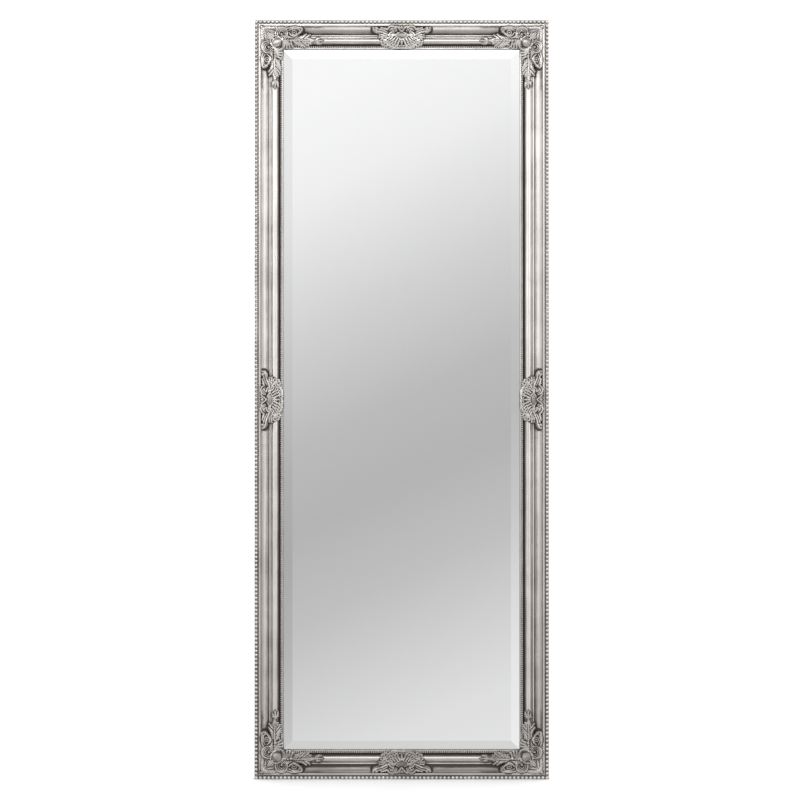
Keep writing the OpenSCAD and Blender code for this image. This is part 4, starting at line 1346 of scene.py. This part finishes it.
class MIRROR_OT_hangers(Maker, bpy.types.Operator):
    """Finishes the straps and their rings, and drives the screws"""

    bl_idname = "leafed_mirror.hangers"
    bl_label = "Hangers"

    def execute(self, context):
        for hand in ("left", "right"):
            dress("hanger_strap_" + hand, "zinc")
            dress("hanger_ring_" + hand, "zinc")
        reach, top = WIDTH / 2 - REBATE_S / 2 * MM, HEIGHT - HANGER_DROP * MM
        stand = Matrix.Translation((0, BACK_Y, 0)) @ Matrix.Rotation(math.pi / 2, 4, "X")
        places = [
            stand @ Matrix.Translation((hand * reach, top - down * MM, 0))
            for hand in (-1, 1) for down in STRAP_HOLES
        ]
        model = screw("strap_screw", STRAP_SCREW)
        scatter(model, places, "strap_screws", "hanger_screws", "zinc")
        return {"FINISHED"}


class MIRROR_OT_turn_buttons(Maker, bpy.types.Operator):
    """Finishes the turn buttons that hold the board, and drives their screws"""

    bl_idname = "leafed_mirror.turn_buttons"
    bl_label = "Turn buttons"

    def execute(self, context):
        for name in sorted(NODES):
            if name.startswith("turn_button_") and name != "turn_button_screws":
                dress(name, "zinc")
        pitch = BUTTON_PITCH * MM
        places = [
            side_place(side, along, BUTTON_S * MM)
            for side in range(4) for along in ((0,), (-pitch, 0, pitch))[side % 2]
        ]
        model = screw("button_screw", BUTTON_SCREW)
        scatter(model, places, "button_screws", "turn_button_screws", "zinc")
        return {"FINISHED"}


class MIRROR_OT_bumpers(Maker, bpy.types.Operator):
    """Sets a soft bumper in each corner of the back"""

    bl_idname = "leafed_mirror.bumpers"
    bl_label = "Bumpers"

    def execute(self, context):
        foot = start(
            bpy.ops.mesh.primitive_cone_add, "bumper", vertices=40,
            radius1=6.2 * MM, radius2=7.0 * MM, depth=7 * MM, location=(0, 0, -3.55 * MM),
        )
        choose_faces(foot, lambda centre, normal: normal.z < -0.9)
        with shaping(foot):
            bpy.ops.mesh.bevel(offset=0.9 * MM, segments=4)
        choose_faces(foot, lambda centre, normal: normal.z < -0.99)
        with shaping(foot):
            bpy.ops.mesh.inset(thickness=2.2 * MM)
            bpy.ops.mesh.inset(thickness=0.4 * MM, depth=-1.4 * MM)
        outward(foot)
        smooth(foot, 40)
        places = [corner_place(side, BUMPER_S * MM) for side in range(4)]
        scatter(foot, places, "rubber_bumpers", "wall_bumpers", "rubber")
        return {"FINISHED"}


# Tones of the room straight ahead, which the flat glass shows, by how far a direction leans up
# and to the left
ROOM = (
    (-0.15, 0.80), (-0.12, 0.75), (-0.065, 0.54), (-0.03, 0.47), (0.0, 0.51), (0.04, 0.66),
    (0.09, 0.90), (0.125, 0.975), (0.16, 0.975),
)
# How much of that is left further to the sides and further up and down
ROOM_ACROSS = ((-0.40, 0.95), (-0.24, 0.85), (-0.09, 1.0), (0.09, 1.0), (0.24, 1.08), (0.40, 1.08))
ROOM_UP = (
    (-1.0, 2.2), (-0.90, 1.0), (-0.52, 0.50), (-0.36, 0.84), (-0.17, 1.0), (0.20, 0.97),
    (0.42, 0.95), (0.60, 0.34), (1.0, 0.16),
)
# Tones of the room's side walls by height
ROOM_SIDES = (
    (-0.9, 0.95), (-0.30, 0.62), (-0.16, 0.28), (-0.09, 0.42), (-0.02, 1.3), (0.06, 1.85),
    (0.12, 2.1), (0.4, 1.5), (0.8, 0.3),
)
# How much of the side walls' light is left straight to the side
ROOM_STRIPS = ((0.0, 1.0), (0.90, 1.0), (0.985, 0.42))


class MIRROR_OT_stage(Maker, bpy.types.Operator):
    """Lays the pale floor and sets the room, the soft lights and the camera"""

    bl_idname = "leafed_mirror.stage"
    bl_label = "Stage"

    def execute(self, context):
        stage = settings().stage
        floor = start(bpy.ops.mesh.primitive_plane_add, "floor", size=stage.floor)
        floor.data.materials.append(finish_named("floor"))
        floor.visible_glossy = False
        self.room()
        self.soft_light("key", (-0.4, -3.2, 2.55), (0, 0, 1.1), (2.4, 0.8), stage.key)
        self.soft_light("rear", (1.2, 3.2, 2.6), (0, 0, 0.8), (2.0, 2.0), stage.key, floor=True)
        self.camera(stage.distance)
        return {"FINISHED"}

    def room(self):
        """White to the camera and to the floor. What the glass and the leaf reflect is paler
        above and below than straight ahead, and leans a little to one side."""
        f = Finish("studio", "worlds", "Generated")
        bpy.context.scene.world = f.owner
        across, _, up = (f.axis(k) for k in range(3))
        inner_up, inner_across = (
            f.maths("MAXIMUM", f.maths("MINIMUM", axis, reach), -reach)
            for axis, reach in ((up, 0.14), (across, 0.06))
        )
        lean = f.maths("MULTIPLY_ADD", inner_across, -0.46, inner_up)
        low, high = ROOM[0][0], ROOM[-1][0]
        stops = [((at - low) / (high - low), tone) for at, tone in ROOM]
        tone = f.ramp(f.level(lean, low, high), *stops)
        for axis, shares in ((across, ROOM_ACROSS), (up, ROOM_UP)):
            tone = f.mix(1.0, tone, self.tones(f, axis, shares), kind="MULTIPLY")
        aside = f.maths("ABSOLUTE", across)
        strips = self.tones(f, aside, ROOM_STRIPS)
        sides = f.mix(1.0, self.tones(f, up, ROOM_SIDES), strips, kind="MULTIPLY")
        tone = f.mix(f.level(aside, 0.29, 0.50), tone, sides)
        shown, seen = (
            f.add("Background", {0: colour, 1: power}).outputs[0]
            for colour, power in (((1, 1, 1), 1.35), (tone, 1.0))
        )
        glossy = f.add("LightPath").outputs["Is Glossy Ray"]
        either = f.add("MixShader", {0: glossy, 1: shown, 2: seen})
        f.add("OutputWorld", {0: either.outputs[0]})

    @staticmethod
    def tones(f, axis, table):
        """The tones of a table by direction. They may be brighter than white."""
        stops = [((at + 1) / 2, tone / 4) for at, tone in table]
        return f.mix(1.0, f.ramp(f.level(axis, -1, 1), *stops), (4, 4, 4), kind="MULTIPLY")

    def soft_light(self, name, place, aim, size, power, floor=False):
        clear()
        bpy.ops.object.light_add(type="AREA", location=place)
        lamp = bpy.context.active_object
        lamp.name = name
        lamp.data.shape = "RECTANGLE"
        lamp.data.size, lamp.data.size_y = size
        lamp.data.energy = power
        lamp.rotation_euler = (Vector(aim) - Vector(place)).to_track_quat("-Z", "Y").to_euler()
        lamp.visible_camera = False
        lamp.visible_diffuse = floor

    def camera(self, distance):
        clear()
        bpy.ops.object.camera_add(
            location=VIEW_AIM - Vector((0, distance, 0)), rotation=(math.pi / 2, 0, 0)
        )
        camera = bpy.context.active_object
        camera.data.sensor_width = SENSOR
        camera.data.lens = SENSOR * distance / VIEW_WIDTH
        camera.data.clip_end = 100
        bpy.context.scene.camera = camera
        bpy.context.scene.view_settings.view_transform = "Standard"


OPERATORS = (
    MIRROR_OT_moulding, MIRROR_OT_beads, MIRROR_OT_corner_carvings, MIRROR_OT_centre_carvings,
    MIRROR_OT_glass, MIRROR_OT_backing, MIRROR_OT_hangers, MIRROR_OT_turn_buttons,
    MIRROR_OT_bumpers, MIRROR_OT_stage,
)


class MIRROR_PT_panel(bpy.types.Panel):
    """Lists the makers of the mirror's pieces"""

    bl_idname = "MIRROR_PT_panel"
    bl_label = "Leafed Mirror"
    bl_space_type = "VIEW_3D"
    bl_region_type = "UI"
    bl_category = "Leafed Mirror"

    def draw(self, context):
        column = self.layout.column(align=True)
        for operator in OPERATORS:
            column.operator(operator.bl_idname)
        chosen = settings()
        for name in MirrorSettings.__annotations__:
            group, box = getattr(chosen, name), self.layout.box()
            for key in group.__annotations__:
                box.prop(group, key)


CLASSES = (
    LeafSettings, MouldingSettings, BeadSettings, CarvingSettings, BackSettings, StageSettings,
    MirrorSettings, *OPERATORS, MIRROR_PT_panel,
)


def register():
    for each in CLASSES:
        bpy.utils.register_class(each)
    bpy.types.Scene.leafed_mirror = bpy.props.PointerProperty(type=MirrorSettings)


def unregister():
    del bpy.types.Scene.leafed_mirror
    for each in reversed(CLASSES):
        bpy.utils.unregister_class(each)


def main():
    register()
    for operator in OPERATORS:
        group, word = operator.bl_idname.split(".")
        getattr(getattr(bpy.ops, group), word)()
    clear()


if __name__ == "__main__":
    main()
